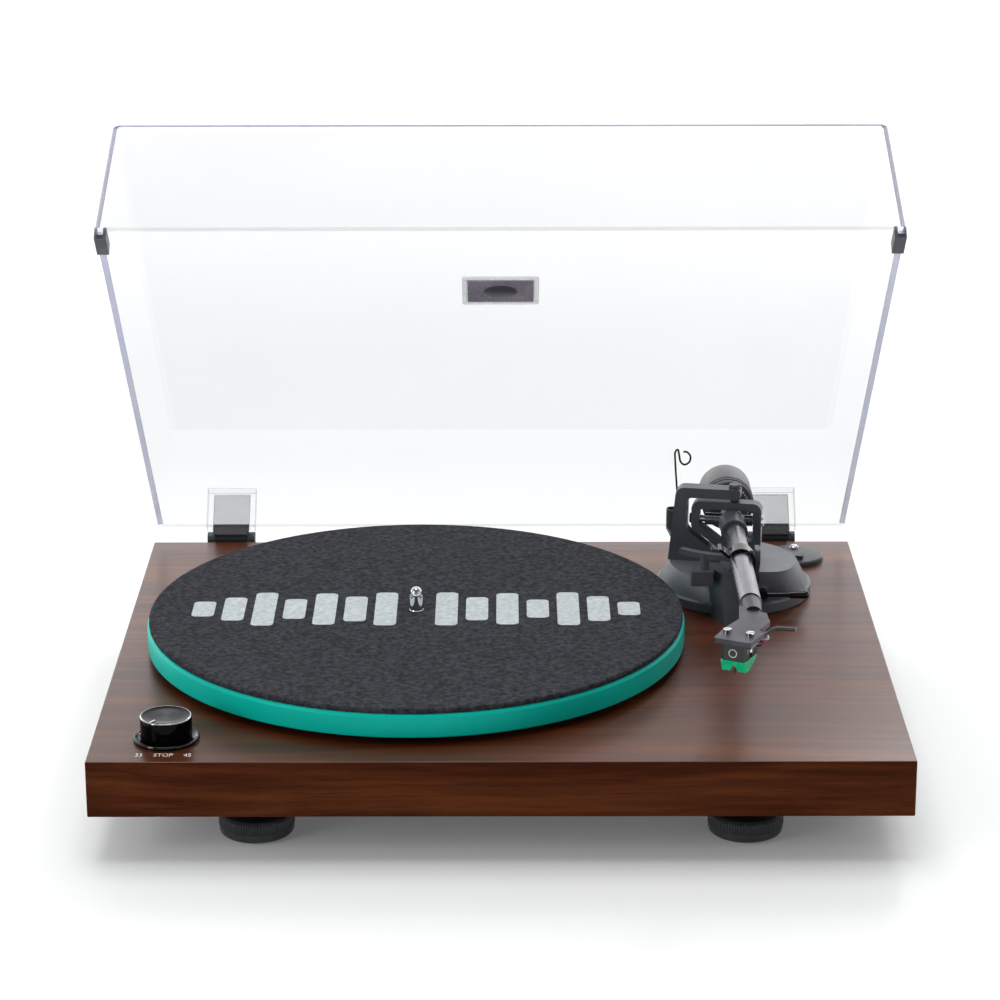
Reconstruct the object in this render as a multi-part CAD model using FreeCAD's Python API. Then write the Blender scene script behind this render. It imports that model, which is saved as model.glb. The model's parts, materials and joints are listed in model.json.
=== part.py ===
"""Belt-drive record player with a wooden plinth, a coloured platter, a gimbal tonearm and a hinged clear lid.

Everything is drawn in deck coordinates: x to the right from the plinth's middle, y back from the plinth's
front face, z up from the plinth's top face, in millimetres. save() moves each piece into the part's own
frame, whose origin is the middle of the bounding box's bottom, with the lid open as it stands.
"""
import FreeCAD
import Part
import math
import os

V = FreeCAD.Vector
X_AXIS = V(1, 0, 0)
Y_AXIS = V(0, 1, 0)
Z_AXIS = V(0, 0, 1)

# ---- driving dimensions (mm, degrees) ----
PLINTH_W = 425.6
PLINTH_D = 345.3
PLINTH_H = 30.6
TOP_BOARD = 8.0          # thickness of the deck over the cavity
RIM_WALL = 18.0          # thickness of the plinth's four rails
BASE_PLATE_T = 3.0

FOOT_X = 129.0
FOOT_INSET = 42.0        # foot axis from the front and the back face
FOOT_H = 26.7            # floor to the plinth's underside
FOOT_R = 20.0
FOOT_TRAVEL = 5.0

PLATTER_X = -47.4
PLATTER_Y = 171.8
PLATTER_R = 150.0
PLATTER_Z0 = 4.0
PLATTER_Z1 = 16.8
MAT_R = 149.0
MAT_T = 3.0
SPINDLE_R = 3.6
SHAFT_R = 3.4            # the spindle below the platter, in its bearing
SPINDLE_TOP = 33.0
DRIVE_RING_R = 64.0
PULLEY_R = 6.0
MOTOR_REACH = 85.0       # spindle to motor shaft
MOTOR_ANGLE = 150.0

KNOB_X = -174.0
KNOB_Y = 31.5
KNOB_R = 13.5
KNOB_TOP = 13.4
KNOB_POINTS_AT = -35.0   # pointer's angle from straight forward, negative towards the left

LID_L = 343.7
LID_H = 67.8
LID_W = 421.3
LID_WALL = 3.5
LID_DRAFT_SIDE = 5.4     # each side wall leans in by this over the lid's height
LID_DRAFT_END = 4.45
LID_REST_GAP = 2.5       # the closed rim stands this far above the deck, on its bumpers
LID_OPEN = 45.6
LID_BACK = PLINTH_D - 0.1
HINGE_Y = PLINTH_D + 9.1
HINGE_Z = -0.8
HINGE_X = 166.1
HINGE_W = 30.0

PIVOT_X = 136.2
PIVOT_Y = 259.0
PIVOT_Z = 43.0
GIMBAL_YAW = 10.0        # the cross bearing's axis is turned this much, right side forward
ARM_TILT = 1.2           # the front of the tube stands this much up while it is raised
ARM_SIDE = -1.7          # the tube's axis lies this far from the pivot
TUBE_R = 6.0
TUBE_END = -150.0
HEAD_OFFSET = 25.0       # the cartridge's axis against the tube's
BARREL_LEFT = 17.2       # the cross shaft's ends, from the pivot
BARREL_RIGHT = 10.6
BASE_R = 45.2
BASE_Y = 258.7
LIFT_ARC_R = 47.0
WEIGHT_R = 15.5

# ---- worked out ----
GROUND = -(PLINTH_H + FOOT_H)
TURN = math.radians(LID_OPEN)
lid_corner_y = LID_BACK - LID_DRAFT_END - HINGE_Y
lid_corner_z = LID_REST_GAP + LID_H - HINGE_Z
DEPTH = HINGE_Y + lid_corner_y * math.cos(TURN) + lid_corner_z * math.sin(TURN)
SHIFT = V(0, -DEPTH / 2, -GROUND)
PIVOT = V(PIVOT_X, PIVOT_Y, PIVOT_Z)
MOTOR_X = PLATTER_X + MOTOR_REACH * math.cos(math.radians(MOTOR_ANGLE))
MOTOR_Y = PLATTER_Y + MOTOR_REACH * math.sin(math.radians(MOTOR_ANGLE))
CAVITY_Z0 = -PLINTH_H + BASE_PLATE_T


# ---- helpers ----
def save(name, *solids):
    """Write one node: its solids, moved into the part's frame."""
    shape = Part.makeCompound(list(solids)) if len(solids) > 1 else solids[0].copy()
    shape.translate(SHIFT)
    shape.exportStep("parts/" + name + ".step")


def box(x0, x1, y0, y1, z0, z1):
    return Part.makeBox(x1 - x0, y1 - y0, z1 - z0, V(x0, y0, z0))


def post(x, y, z0, z1, radius, top_radius=None):
    """An upright cylinder, or a cone where a top radius is given."""
    if top_radius is None:
        return Part.makeCylinder(radius, z1 - z0, V(x, y, z0))
    return Part.makeCone(radius, top_radius, z1 - z0, V(x, y, z0))


def rod_x(x0, x1, y, z, radius):
    return Part.makeCylinder(radius, x1 - x0, V(x0, y, z), X_AXIS)


def rod_y(x, y0, y1, z, radius, end_radius=None):
    if end_radius is None:
        return Part.makeCylinder(radius, y1 - y0, V(x, y0, z), Y_AXIS)
    return Part.makeCone(radius, end_radius, y1 - y0, V(x, y0, z), Y_AXIS)


def spun(profile, x, y):
    """Spin an (r, z) outline about the upright axis through x, y."""
    points = [V(x + r, y, z) for r, z in profile]
    face = Part.Face(Part.makePolygon(points + [points[0]]))
    return face.revolve(V(x, y, 0), Z_AXIS, 360)


def spun_y(profile, x, z):
    """Spin an (r, y) outline about the axis along Y through x, z."""
    points = [V(x + r, y, z) for r, y in profile]
    face = Part.Face(Part.makePolygon(points + [points[0]]))
    return face.revolve(V(x, 0, z), Y_AXIS, 360)


def outline(points, radii, place):
    """A closed wire through 2-D points with its corners rounded; place turns (u, v) into a vector."""
    count = len(points)
    starts = []
    ends = []
    mids = []
    for i in range(count):
        here = V(points[i][0], points[i][1], 0)
        before = V(points[i - 1][0], points[i - 1][1], 0) - here
        after = V(points[(i + 1) % count][0], points[(i + 1) % count][1], 0) - here
        before.normalize()
        after.normalize()
        radius = radii[i] if isinstance(radii, (list, tuple)) else radii
        half = before.getAngle(after) / 2
        if radius <= 0 or half > math.pi / 2 - 0.01:
            starts.append(here)
            ends.append(here)
            mids.append(None)
            continue
        back_off = radius / math.tan(half)
        bisector = before + after
        bisector.normalize()
        centre = here + bisector * (radius / math.sin(half))
        starts.append(here + before * back_off)
        ends.append(here + after * back_off)
        mids.append(centre - bisector * radius)
    edges = []
    for i in range(count):
        if mids[i] is not None:
            three = [place(p.x, p.y) for p in (starts[i], mids[i], ends[i])]
            edges.append(Part.Arc(*three).toShape())
        a = place(ends[i].x, ends[i].y)
        b = place(starts[(i + 1) % count].x, starts[(i + 1) % count].y)
        if a.distanceToPoint(b) > 1e-6:
            edges.append(Part.makeLine(a, b))
    return Part.Wire(edges)


def slab_z(points, z0, z1, radii=0):
    """An (x, y) outline raised from z0 to z1."""
    wire = outline(points, radii, lambda u, v: V(u, v, z0))
    return Part.Face(wire).extrude(V(0, 0, z1 - z0))


def slab_y(points, y0, y1, radii=0):
    """An (x, z) outline drawn out from y0 to y1."""
    wire = outline(points, radii, lambda u, v: V(u, y0, v))
    return Part.Face(wire).extrude(V(0, y1 - y0, 0))


def slab_x(points, x0, x1, radii=0):
    """A (y, z) outline drawn out from x0 to x1."""
    wire = outline(points, radii, lambda u, v: V(x0, u, v))
    return Part.Face(wire).extrude(V(x1 - x0, 0, 0))


def loft(lower, z0, upper, z1, radii=0):
    """A straight-sided loft between two (x, y) outlines."""
    low = outline(lower, radii, lambda u, v: V(u, v, z0))
    high = outline(upper, radii, lambda u, v: V(u, v, z1))
    return Part.makeLoft([low, high], True, True)


def block(low, high):
    """A solid of six flat faces between two four-cornered loops of points."""
    faces = [Part.Face(Part.makePolygon(loop + [loop[0]])) for loop in (low, high)]
    for i in range(4):
        j = (i + 1) % 4
        quad = [low[i], low[j], high[j], high[i]]
        faces.append(Part.Face(Part.makePolygon(quad + [quad[0]])))
    return Part.makeSolid(Part.makeShell(faces))


def bent_wire(points, radius, bend):
    """A round wire along points, its corners rounded by tangent arcs."""
    edges = []
    last = points[0]
    for i in range(1, len(points) - 1):
        before = points[i - 1] - points[i]
        after = points[i + 1] - points[i]
        before.normalize()
        after.normalize()
        half = before.getAngle(after) / 2
        back_off = bend / math.tan(half)
        bisector = before + after
        bisector.normalize()
        centre = points[i] + bisector * (bend / math.sin(half))
        start = points[i] + before * back_off
        end = points[i] + after * back_off
        edges.append(Part.makeLine(last, start))
        edges.append(Part.Arc(start, centre - bisector * bend, end).toShape())
        last = end
    edges.append(Part.makeLine(last, points[-1]))
    path = Part.Wire(edges)
    circle = Part.Wire(Part.makeCircle(radius, points[0], points[1] - points[0]))
    return path.makePipeShell([circle], True, True)


def opened(shape):
    """Swing a lid piece from closed to the standing-open rest position."""
    return shape.rotated(V(0, HINGE_Y, HINGE_Z), X_AXIS, -LID_OPEN)


def yawed(shape):
    """Turn a gimbal piece by the cross bearing's yaw."""
    return shape.rotated(PIVOT, Z_AXIS, -GIMBAL_YAW)


def on_arm(shape):
    """Move a piece drawn about the pivot, tube along -Y, to its place on the raised arm."""
    cross = V(math.cos(math.radians(GIMBAL_YAW)), -math.sin(math.radians(GIMBAL_YAW)), 0)
    turned = shape.rotated(V(0, 0, 0), cross, -ARM_TILT)
    return turned.translated(PIVOT)


# ---- plinth and what it holds ----
def plinth():
    half = PLINTH_W / 2
    body = box(-half, half, 0, PLINTH_D, -PLINTH_H, 0)
    body = body.makeFillet(0.8, [e for e in body.Edges])
    cavity = box(-half + RIM_WALL, half - RIM_WALL, RIM_WALL, PLINTH_D - RIM_WALL, -PLINTH_H - 1, -TOP_BOARD)
    body = body.cut(cavity)
    rear_window = box(-58, 58, PLINTH_D - RIM_WALL - 1, PLINTH_D + 1, -25.6, -9.6)
    rear_rebate = box(-62, 62, PLINTH_D - 1.6, PLINTH_D + 1, -27.6, -7.6)
    holes = [
        post(PLATTER_X, PLATTER_Y, -PLINTH_H, 1, 8.2),
        post(MOTOR_X, MOTOR_Y, -PLINTH_H, 1, 8.0),
        post(KNOB_X, KNOB_Y, -PLINTH_H, 1, 4.2),
        post(PIVOT_X, BASE_Y, -PLINTH_H, 1, 11.2),
    ]
    return body.cut([rear_window, rear_rebate] + holes)


def base_plate():
    half = PLINTH_W / 2 - RIM_WALL - 0.2
    plate = box(-half, half, RIM_WALL + 0.2, PLINTH_D - RIM_WALL - 0.2, -PLINTH_H, CAVITY_Z0)
    slots = []
    for i in range(6):
        x = MOTOR_X - 15 + 6 * i
        slots.append(box(x, x + 2.4, MOTOR_Y - 12, MOTOR_Y + 12, -PLINTH_H - 1, CAVITY_Z0 + 1))
    return plate.cut(slots)


def base_screws():
    screws = []
    for x in (-186, 0, 186):
        for y in (27, PLINTH_D - 27):
            screws.append(spun([(0, GROUND + FOOT_H - 1.6), (2.6, GROUND + FOOT_H - 1.6),
                                (3.6, GROUND + FOOT_H), (0, GROUND + FOOT_H)], x, y))
    return screws


def motor():
    can = spun([(1.25, -25.6), (20.2, -25.6), (21, -24.8), (21, -10.3), (20.2, -9.5), (5, -9.5), (5, -8.6),
                (1.25, -8.6)], MOTOR_X, MOTOR_Y)
    return [can, post(MOTOR_X, MOTOR_Y, -27.0, -25.6, 5)]


def motor_mount():
    plate = slab_z([(MOTOR_X - 32, MOTOR_Y - 24), (MOTOR_X + 32, MOTOR_Y - 24),
                    (MOTOR_X + 32, MOTOR_Y + 24), (MOTOR_X - 32, MOTOR_Y + 24)], -9.5, -TOP_BOARD, 6)
    grommets = []
    plate = plate.cut(post(MOTOR_X, MOTOR_Y, -10, 0, 5.2))
    for x, y in ((-27, -19), (27, -19), (-27, 19), (27, 19)):
        grommets.append(post(MOTOR_X + x, MOTOR_Y + y, -12.5, -9.5, 3.4))
    return [plate] + grommets


def bearing_housing():
    bore = SHAFT_R + 0.05
    return spun([(0, -25), (8, -25), (8, 0), (16, 0), (16, 1.4), (8.5, 1.4), (7.5, 3.2), (bore, 3.2), (bore, -23),
                 (0, -23)], PLATTER_X, PLATTER_Y)


def belt_loop(clearance, z0, z1):
    """The flat shape inside a belt round the drive ring and the pulley, grown by a clearance."""
    big = DRIVE_RING_R + clearance
    small = PULLEY_R + clearance
    lean = math.acos((big - small) / MOTOR_REACH)
    way = math.radians(MOTOR_ANGLE)

    def on(cx, cy, radius, angle):
        return V(cx + radius * math.cos(angle), cy + radius * math.sin(angle), z0)

    a = on(PLATTER_X, PLATTER_Y, big, way + lean)
    b = on(PLATTER_X, PLATTER_Y, big, way + math.pi)
    c = on(PLATTER_X, PLATTER_Y, big, way - lean)
    d = on(MOTOR_X, MOTOR_Y, small, way - lean)
    e = on(MOTOR_X, MOTOR_Y, small, way)
    f = on(MOTOR_X, MOTOR_Y, small, way + lean)
    wire = Part.Wire([Part.Arc(a, b, c).toShape(), Part.makeLine(c, d), Part.Arc(d, e, f).toShape(),
                      Part.makeLine(f, a)])
    return Part.Face(wire).extrude(V(0, 0, z1 - z0))


def drive_belt():
    return belt_loop(1.2, 5.6, 10.4).cut(belt_loop(0.3, 5.0, 11.0))


def knob_dish():
    return spun([(4.2, 0), (17.3, 0), (17.3, 1.3), (16.7, 2.1), (15.9, 1.9), (14.2, 0.8), (4.2, 0.8)],
                KNOB_X, KNOB_Y)


def speed_switch():
    body = slab_z([(KNOB_X - 9, KNOB_Y - 9), (KNOB_X + 9, KNOB_Y - 9), (KNOB_X + 9, KNOB_Y + 9),
                   (KNOB_X - 9, KNOB_Y + 9)], -21, -TOP_BOARD, 1.5)
    tags = [box(KNOB_X - 6 + 4 * i, KNOB_X - 5 + 4 * i, KNOB_Y + 9, KNOB_Y + 13, -20, -19.4) for i in range(4)]
    return [body.cut(post(KNOB_X, KNOB_Y, -18, 0, 3.06))] + tags


def control_board():
    z = CAVITY_Z0 + 4.4
    board = box(-55, 55, 262, 318, z, z + 1.6)
    parts = [board]
    for x in (-50, 50):
        for y in (267, 313):
            parts.append(post(x, y, CAVITY_Z0, z, 2.5))
    parts.append(box(-20, -8, 280, 292, z + 1.6, z + 3.2))
    parts.append(box(6, 26, 276, 296, z + 1.6, z + 3.6))
    for x in (-42, -32, 36):
        parts.append(post(x, 290, z + 1.6, z + 9, 3.6))
    return parts


SOCKET_X = (-40, -24)


def rear_panel():
    plate = box(-61.8, 61.8, PLINTH_D - 1.6, PLINTH_D, -27.4, -7.8)
    holes = [rod_y(x, PLINTH_D - 3, PLINTH_D + 2, -17.6, 4.6) for x in SOCKET_X]
    holes.append(rod_y(20, PLINTH_D - 3, PLINTH_D + 2, -17.6, 2.2))
    holes.append(rod_y(44, PLINTH_D - 3, PLINTH_D + 2, -17.6, 5.0))
    return plate.cut(holes)


def audio_sockets():
    """Two phono sockets in one block, each a hollow sleeve with a collar."""
    sockets = [box(-50, -14, PLINTH_D - 13, PLINTH_D - 2.2, -25, -10)]
    for x in SOCKET_X:
        profile = [(1.6, PLINTH_D - 2.2), (4.5, PLINTH_D - 2.2), (4.5, PLINTH_D + 1.2), (4.15, PLINTH_D + 1.2),
                   (4.15, PLINTH_D + 8.6), (3.8, PLINTH_D + 9), (1.6, PLINTH_D + 9)]
        sockets.append(spun_y(profile, x, -17.6))
    return sockets


def ground_terminal():
    stud = rod_y(20, PLINTH_D - 10, PLINTH_D + 9, -17.6, 2.0)
    nut = spun_y([(2.0, PLINTH_D + 1.4), (4.6, PLINTH_D + 1.4), (4.6, PLINTH_D + 6.6), (3.8, PLINTH_D + 7.4),
                  (2.0, PLINTH_D + 7.4)], 20, -17.6)
    return [stud, nut]


def power_inlet():
    body = box(37, 51, PLINTH_D - 14, PLINTH_D - 2.0, -24, -11)
    lip = rod_y(44, PLINTH_D - 2.0, PLINTH_D + 0.6, -17.6, 4.8)
    bore = rod_y(44, PLINTH_D - 10, PLINTH_D + 2, -17.6, 3.0)
    pin = rod_y(44, PLINTH_D - 11, PLINTH_D - 0.5, -17.6, 1.0)
    return body.fuse(lip).cut(bore).fuse(pin).removeSplitter()


# ---- feet ----
FOOT_SPOTS = {
    "foot_front_left": (-FOOT_X, FOOT_INSET),
    "foot_front_right": (FOOT_X, FOOT_INSET),
    "foot_rear_left": (-FOOT_X, PLINTH_D - FOOT_INSET),
    "foot_rear_right": (FOOT_X, PLINTH_D - FOOT_INSET),
}


def foot_collar(x, y):
    """The fixed sleeve under the plinth that a foot screws into."""
    low = -PLINTH_H - 11.8
    return spun([(5.08, low), (15.2, low), (16.5, low + 1.2), (16.5, -PLINTH_H), (5.08, -PLINTH_H)], x, y)


def foot(x, y):
    """A levelling foot: a ring with a stem, on a rubber pad."""
    top = -PLINTH_H - 13.9
    pad = post(x, y, GROUND, GROUND + 0.7, 13.0)
    ring = spun([(0, GROUND + 0.7), (17.4, GROUND + 0.7), (19.2, GROUND + 1.5), (FOOT_R, GROUND + 3.0),
                 (FOOT_R, top - 1.6), (FOOT_R - 1.5, top), (5.0, top), (5.0, top + 10.5), (4.2, top + 11.3),
                 (0, top + 11.3)], x, y)
    return [pad, ring]


# ---- platter and drive ----
def platter():
    web = PLATTER_Z1 - 4.8
    return spun([(SPINDLE_R + 0.52, 9.0), (40, 9.0), (42, web), (138, web), (141, PLATTER_Z0 + 0.4),
                 (141.4, PLATTER_Z0), (PLATTER_R - 0.6, PLATTER_Z0), (PLATTER_R, PLATTER_Z0 + 0.6),
                 (PLATTER_R, PLATTER_Z1 - 0.9), (PLATTER_R - 0.9, PLATTER_Z1), (SPINDLE_R + 0.52, PLATTER_Z1)],
                PLATTER_X, PLATTER_Y)


def platter_mat():
    return spun([(SPINDLE_R + 0.7, PLATTER_Z1), (MAT_R, PLATTER_Z1), (MAT_R, PLATTER_Z1 + MAT_T - 0.4),
                 (MAT_R - 0.4, PLATTER_Z1 + MAT_T), (SPINDLE_R + 0.7, PLATTER_Z1 + MAT_T)], PLATTER_X, PLATTER_Y)


def spindle():
    return spun([(0, -22.6), (SHAFT_R - 1, -22.6), (SHAFT_R, -21.6), (SHAFT_R, 4.2), (11, 4.2), (11, 9.0),
                 (SPINDLE_R + 0.4, 9.0), (SPINDLE_R + 0.4, 19.9), (SPINDLE_R, 19.9),
                 (SPINDLE_R, SPINDLE_TOP - 3.2), (SPINDLE_R - 0.5, SPINDLE_TOP - 1.4),
                 (SPINDLE_R - 1.6, SPINDLE_TOP - 0.3), (0, SPINDLE_TOP)], PLATTER_X, PLATTER_Y)


def drive_ring():
    web = PLATTER_Z1 - 4.8
    return spun([(DRIVE_RING_R - 4, 4.6), (DRIVE_RING_R, 4.6), (DRIVE_RING_R, web), (DRIVE_RING_R - 4, web)],
                PLATTER_X, PLATTER_Y)


def motor_pulley():
    return spun([(0, -20), (1.2, -20), (1.2, 3.6), (PULLEY_R - 1, 3.6), (PULLEY_R, 4.2), (PULLEY_R, 10.8),
                 (PULLEY_R - 0.6, 11.2), (0, 11.2)], MOTOR_X, MOTOR_Y)


def speed_knob():
    """The rotary knob with its shaft and a pointer notch in the rim of its cap."""
    body = spun([(0, -16), (2.6, -16), (3.0, -15.4), (3.0, 1.2), (KNOB_R, 1.2), (KNOB_R, KNOB_TOP - 0.7),
                 (KNOB_R - 0.7, KNOB_TOP), (KNOB_R - 1.4, KNOB_TOP - 0.25), (0, KNOB_TOP - 0.25)], KNOB_X, KNOB_Y)
    notch = box(KNOB_X - 0.5, KNOB_X + 0.5, KNOB_Y - KNOB_R - 1, KNOB_Y - 8.2, KNOB_TOP - 1.1, KNOB_TOP + 1)
    return body.cut(notch.rotated(V(KNOB_X, KNOB_Y, 0), Z_AXIS, KNOB_POINTS_AT))


# ---- lid and its hinges, drawn closed ----
def lid_loop(z, inset):
    """The lid's rectangle at a height above its rim, drawn in by the draft and by an inset."""
    share = z / LID_H
    x = LID_W / 2 - LID_DRAFT_SIDE * share - inset
    y0 = LID_BACK - LID_L + LID_DRAFT_END * share + inset
    y1 = LID_BACK - LID_DRAFT_END * share - inset
    height = LID_REST_GAP + z
    return [V(-x, y0, height), V(x, y0, height), V(x, y1, height), V(-x, y1, height)]


def lid_shell_closed():
    """Five panels that meet in mitres: four drafted walls and the top."""
    under = LID_H - LID_WALL
    outer_low, outer_high = lid_loop(0, 0), lid_loop(under, 0)
    inner_low, inner_high = lid_loop(0, LID_WALL), lid_loop(under, LID_WALL)
    panels = [block(lid_loop(under, 0), lid_loop(LID_H, 0))]
    for i in range(4):
        j = (i + 1) % 4
        panels.append(block([outer_low[i], outer_low[j], inner_low[j], inner_low[i]],
                            [outer_high[i], outer_high[j], inner_high[j], inner_high[i]]))
    return panels


def lid_bumpers():
    """Black clips over the rim beside the front corners, which the closed lid stands on."""
    half = LID_W / 2
    front = LID_BACK - LID_L
    clips = []
    for side in (-1, 1):
        x0, x1 = sorted((side * (half - LID_WALL - 1.9), side * (half + 0.9)))
        clip = box(x0, x1, front + 7, front + 23, 0.2, LID_REST_GAP + 4.5)
        for panel in lid_shell_closed():
            clip = clip.cut(panel)
        clips.append(clip)
    return clips


def wall_back(z):
    """The y of the closed lid's outer back face at a deck height."""
    return LID_BACK - LID_DRAFT_END * (z - LID_REST_GAP) / LID_H


POCKET_TOP = 28.5
LEAF_Y0 = LID_BACK + 2.2
LEAF_T = 1.5


def hinge_pocket(x):
    """A clear moulded pocket on the lid's back face that holds a hinge leaf."""
    low, high = LID_REST_GAP, POCKET_TOP
    half = HINGE_W / 2
    back = LID_BACK + 6.3
    bottom = [V(x - half, wall_back(low), low), V(x + half, wall_back(low), low),
              V(x + half, back, low), V(x - half, back, low)]
    top = [V(x - half, wall_back(high), high), V(x + half, wall_back(high), high),
           V(x + half, back - 1.0, high), V(x - half, back - 1.0, high)]
    slot = box(x - 11.2, x + 11.2, LEAF_Y0 - 0.1, LEAF_Y0 + LEAF_T + 0.1, low - 1, high - 2.5)
    return block(bottom, top).cut(slot)


def hinge_leaf(x):
    """A steel leaf that slides into the pocket, cranked back to a barrel on the pin."""
    leaf = box(x - 11, x + 11, LEAF_Y0, LEAF_Y0 + LEAF_T, 0, POCKET_TOP - 3)
    crank = box(x - 9.8, x + 9.8, LEAF_Y0, HINGE_Y, -1.5, 0.6)
    barrel = rod_x(x - 9.8, x + 9.8, HINGE_Y, HINGE_Z, 3.9)
    bore = rod_x(x - 11, x + 11, HINGE_Y, HINGE_Z, 2.05)
    return leaf.fuse(crank).fuse(barrel).cut(bore).removeSplitter()


def lid_badge():
    """A blank bezel and plate on the inside of the lid's top."""
    z = LID_REST_GAP + LID_H - LID_WALL
    bezel = slab_z([(-22, 156), (22, 156), (22, 185), (-22, 185)], z - 1.6, z, 1.5)
    window = slab_z([(-19.6, 158.4), (19.6, 158.4), (19.6, 182.6), (-19.6, 182.6)], z - 2, z - 0.8, 0.8)
    return bezel.cut(window)


def hinge_bracket(x):
    """A black bracket on the plinth's back face with two ears for the pin."""
    plate = slab_y([(x - 15, -25), (x + 15, -25), (x + 15, -4), (x - 15, -4)], PLINTH_D, PLINTH_D + 2.6, 2)
    bracket = plate
    for x0 in (x - 14.6, x + 10.2):
        nose = rod_x(x0, x0 + 4.4, HINGE_Y, HINGE_Z, 4.0)
        web = slab_x([(PLINTH_D, -22), (PLINTH_D + 2.6, -22), (HINGE_Y + 3.9, HINGE_Z - 0.9),
                      (HINGE_Y, HINGE_Z), (HINGE_Y - 3.9, HINGE_Z - 0.9), (PLINTH_D + 2.6, -6),
                      (PLINTH_D, -6)], x0, x0 + 4.4)
        bracket = bracket.fuse(nose).fuse(web)
    hole = rod_x(x - 20, x + 20, HINGE_Y, HINGE_Z, 2.0)
    screws = [rod_y(x + dx, PLINTH_D + 2.6, PLINTH_D + 4.2, -19, 2.9) for dx in (-6, 6)]
    return [bracket.cut(hole).removeSplitter()] + screws


def hinge_pin(x):
    return rod_x(x - 14.6, x + 14.6, HINGE_Y, HINGE_Z, 2.0)


# ---- tonearm: what stands on the deck ----
BUMP_TOP = 24.0
WIRE_X = 107.5
WIRE_Y = 288.0
PARK_X = 101.2           # where the anti-skate weight is parked
PARK_Y = 275.4
REST_X = 142.6           # left face of the rest's bracket
LEDGE_Z = 6.5


def softened(points, rounds=3):
    """An open run of points with its inner corners cut again and again until they read as a curve."""
    for _ in range(rounds):
        cut = [points[0]]
        for (x0, y0), (x1, y1) in zip(points, points[1:]):
            cut.append((0.75 * x0 + 0.25 * x1, 0.75 * y0 + 0.25 * y1))
            cut.append((0.25 * x0 + 0.75 * x1, 0.25 * y0 + 0.75 * y1))
        points = cut + [points[-1]]
    return points


def tonearm_base():
    """The skirted round housing with its raised lobe on the right, its prow and its bracket for the rest."""
    skirt = spun([(0, 0), (BASE_R - 0.6, 0), (BASE_R, 0.6), (BASE_R, LEDGE_Z - 0.8), (BASE_R - 1, LEDGE_Z),
                  (0, LEDGE_Z)], PIVOT_X, BASE_Y)
    slope = post(PIVOT_X, BASE_Y, LEDGE_Z, 18, 43.2, 37.4)
    front_cut = box(PIVOT_X + 12, PIVOT_X + 50, BASE_Y - 50, BASE_Y - 34.4, LEDGE_Z, 30)
    lower = [(148.4, 222.6), (164, 222.6), (176, 236), (179, 252), (174, 272), (162, 286), (148.4, 290)]
    upper = [(148.4, 221.6), (162, 221.6), (170.5, 233), (171, 250), (165, 264), (157, 271), (148.4, 273)]
    lobe = loft(softened(lower), LEDGE_Z, softened(upper), BUMP_TOP)
    lever_boss = rod_y(150.4, 219.9, 224, 12.2, 3.2)
    stem = post(PIVOT_X, BASE_Y, -16, 0, 11.0)
    foot_post = post(PIVOT_X, PIVOT_Y, 17, 19.6, 9.0)
    body = skirt.fuse([slope.cut(front_cut), lobe, lever_boss, stem, foot_post]).removeSplitter()
    return body.cut(post(WIRE_X, WIRE_Y, 7.5, 30, 2.6))


def rest_bracket():
    """A swan-neck plate from the lobe's front corner up to the rest clip."""
    side = slab_x([(226, 13), (226, 23), (214, 25), (199, 35), (190, 51.5), (180, 51.5), (180, 44), (192, 30),
                   (208, 16), (218, 13)], REST_X, REST_X + 2.6, [0, 1, 6, 8, 1.5, 1.5, 3, 8, 6, 0])
    root = box(REST_X + 2.6, 148.4, 222.6, 226, 13, 23)
    return side.fuse(root).cut(tonearm_base()).removeSplitter()


def cue_housing():
    """The prow under the tube and the block that guides the lift's column."""
    prow = loft([(117.5, 224), (127, 196.5), (139, 196.5), (143.5, 224)], 0,
                [(120.5, 224), (126.5, 213.5), (139, 213.5), (141, 224)], 25.5)
    guide = slab_z([(108.5, 209.5), (121.5, 209.5), (121.5, 223), (108.5, 223)], 19.5, 28, 1.2)
    body = prow.fuse(guide)
    body = body.cut(post(PIVOT_X, BASE_Y, LEDGE_Z, 18, 43.2, 37.4).fuse(post(PIVOT_X, BASE_Y, -1, LEDGE_Z, BASE_R)))
    body = body.cut(tonearm_base())
    x, y = lift_point(24.5)
    return body.cut(post(x, y, 14, 40, 2.66)).Solids


def cue_screw():
    return [spun([(0, 25.5), (1.9, 25.5), (1.9, 26.6), (1.4, 27.2), (0, 27.2)], 131.5, 219.5)]


def tonearm_nut():
    points = [(PIVOT_X + 16 * math.cos(math.radians(60 * i)), BASE_Y + 16 * math.sin(math.radians(60 * i)))
              for i in range(6)]
    return slab_z(points, -12.5, -TOP_BOARD).cut(post(PIVOT_X, BASE_Y, -20, 0, 11.0))


def support_frame():
    """The fixed arch: a raked upright on the left and a bar that reaches over the pivot."""
    outer = [(-38.4, 16), (-33.8, 62.6), (3.6, 62.6), (3.6, 56.6), (-27.4, 56.6), (-27.4, 37.0), (-12.5, 25.2),
             (-12.5, 22.6), (12, 22.6), (12, 16)]
    radii = [0, 5, 1.5, 1.5, 3, 3, 1.5, 0, 2, 0]
    points = [(PIVOT_X + x, z) for x, z in outer]
    arch = slab_y(points, PIVOT_Y - 5, PIVOT_Y + 4.5, radii)
    keep = post(PIVOT_X, BASE_Y, 18, 70, 60).fuse(post(PIVOT_X, PIVOT_Y, 18, 24, 9))
    arch = yawed(arch).common(keep)
    foot_hole = post(PIVOT_X, PIVOT_Y, 16, 19.6, 9.02)
    head_hole = post(PIVOT_X, PIVOT_Y, 55, 64, 2.4)
    low_hole = post(PIVOT_X, PIVOT_Y, 19, 24, 2.4)
    return arch.cut([foot_hole, head_hole, low_hole]).removeSplitter()


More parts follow.
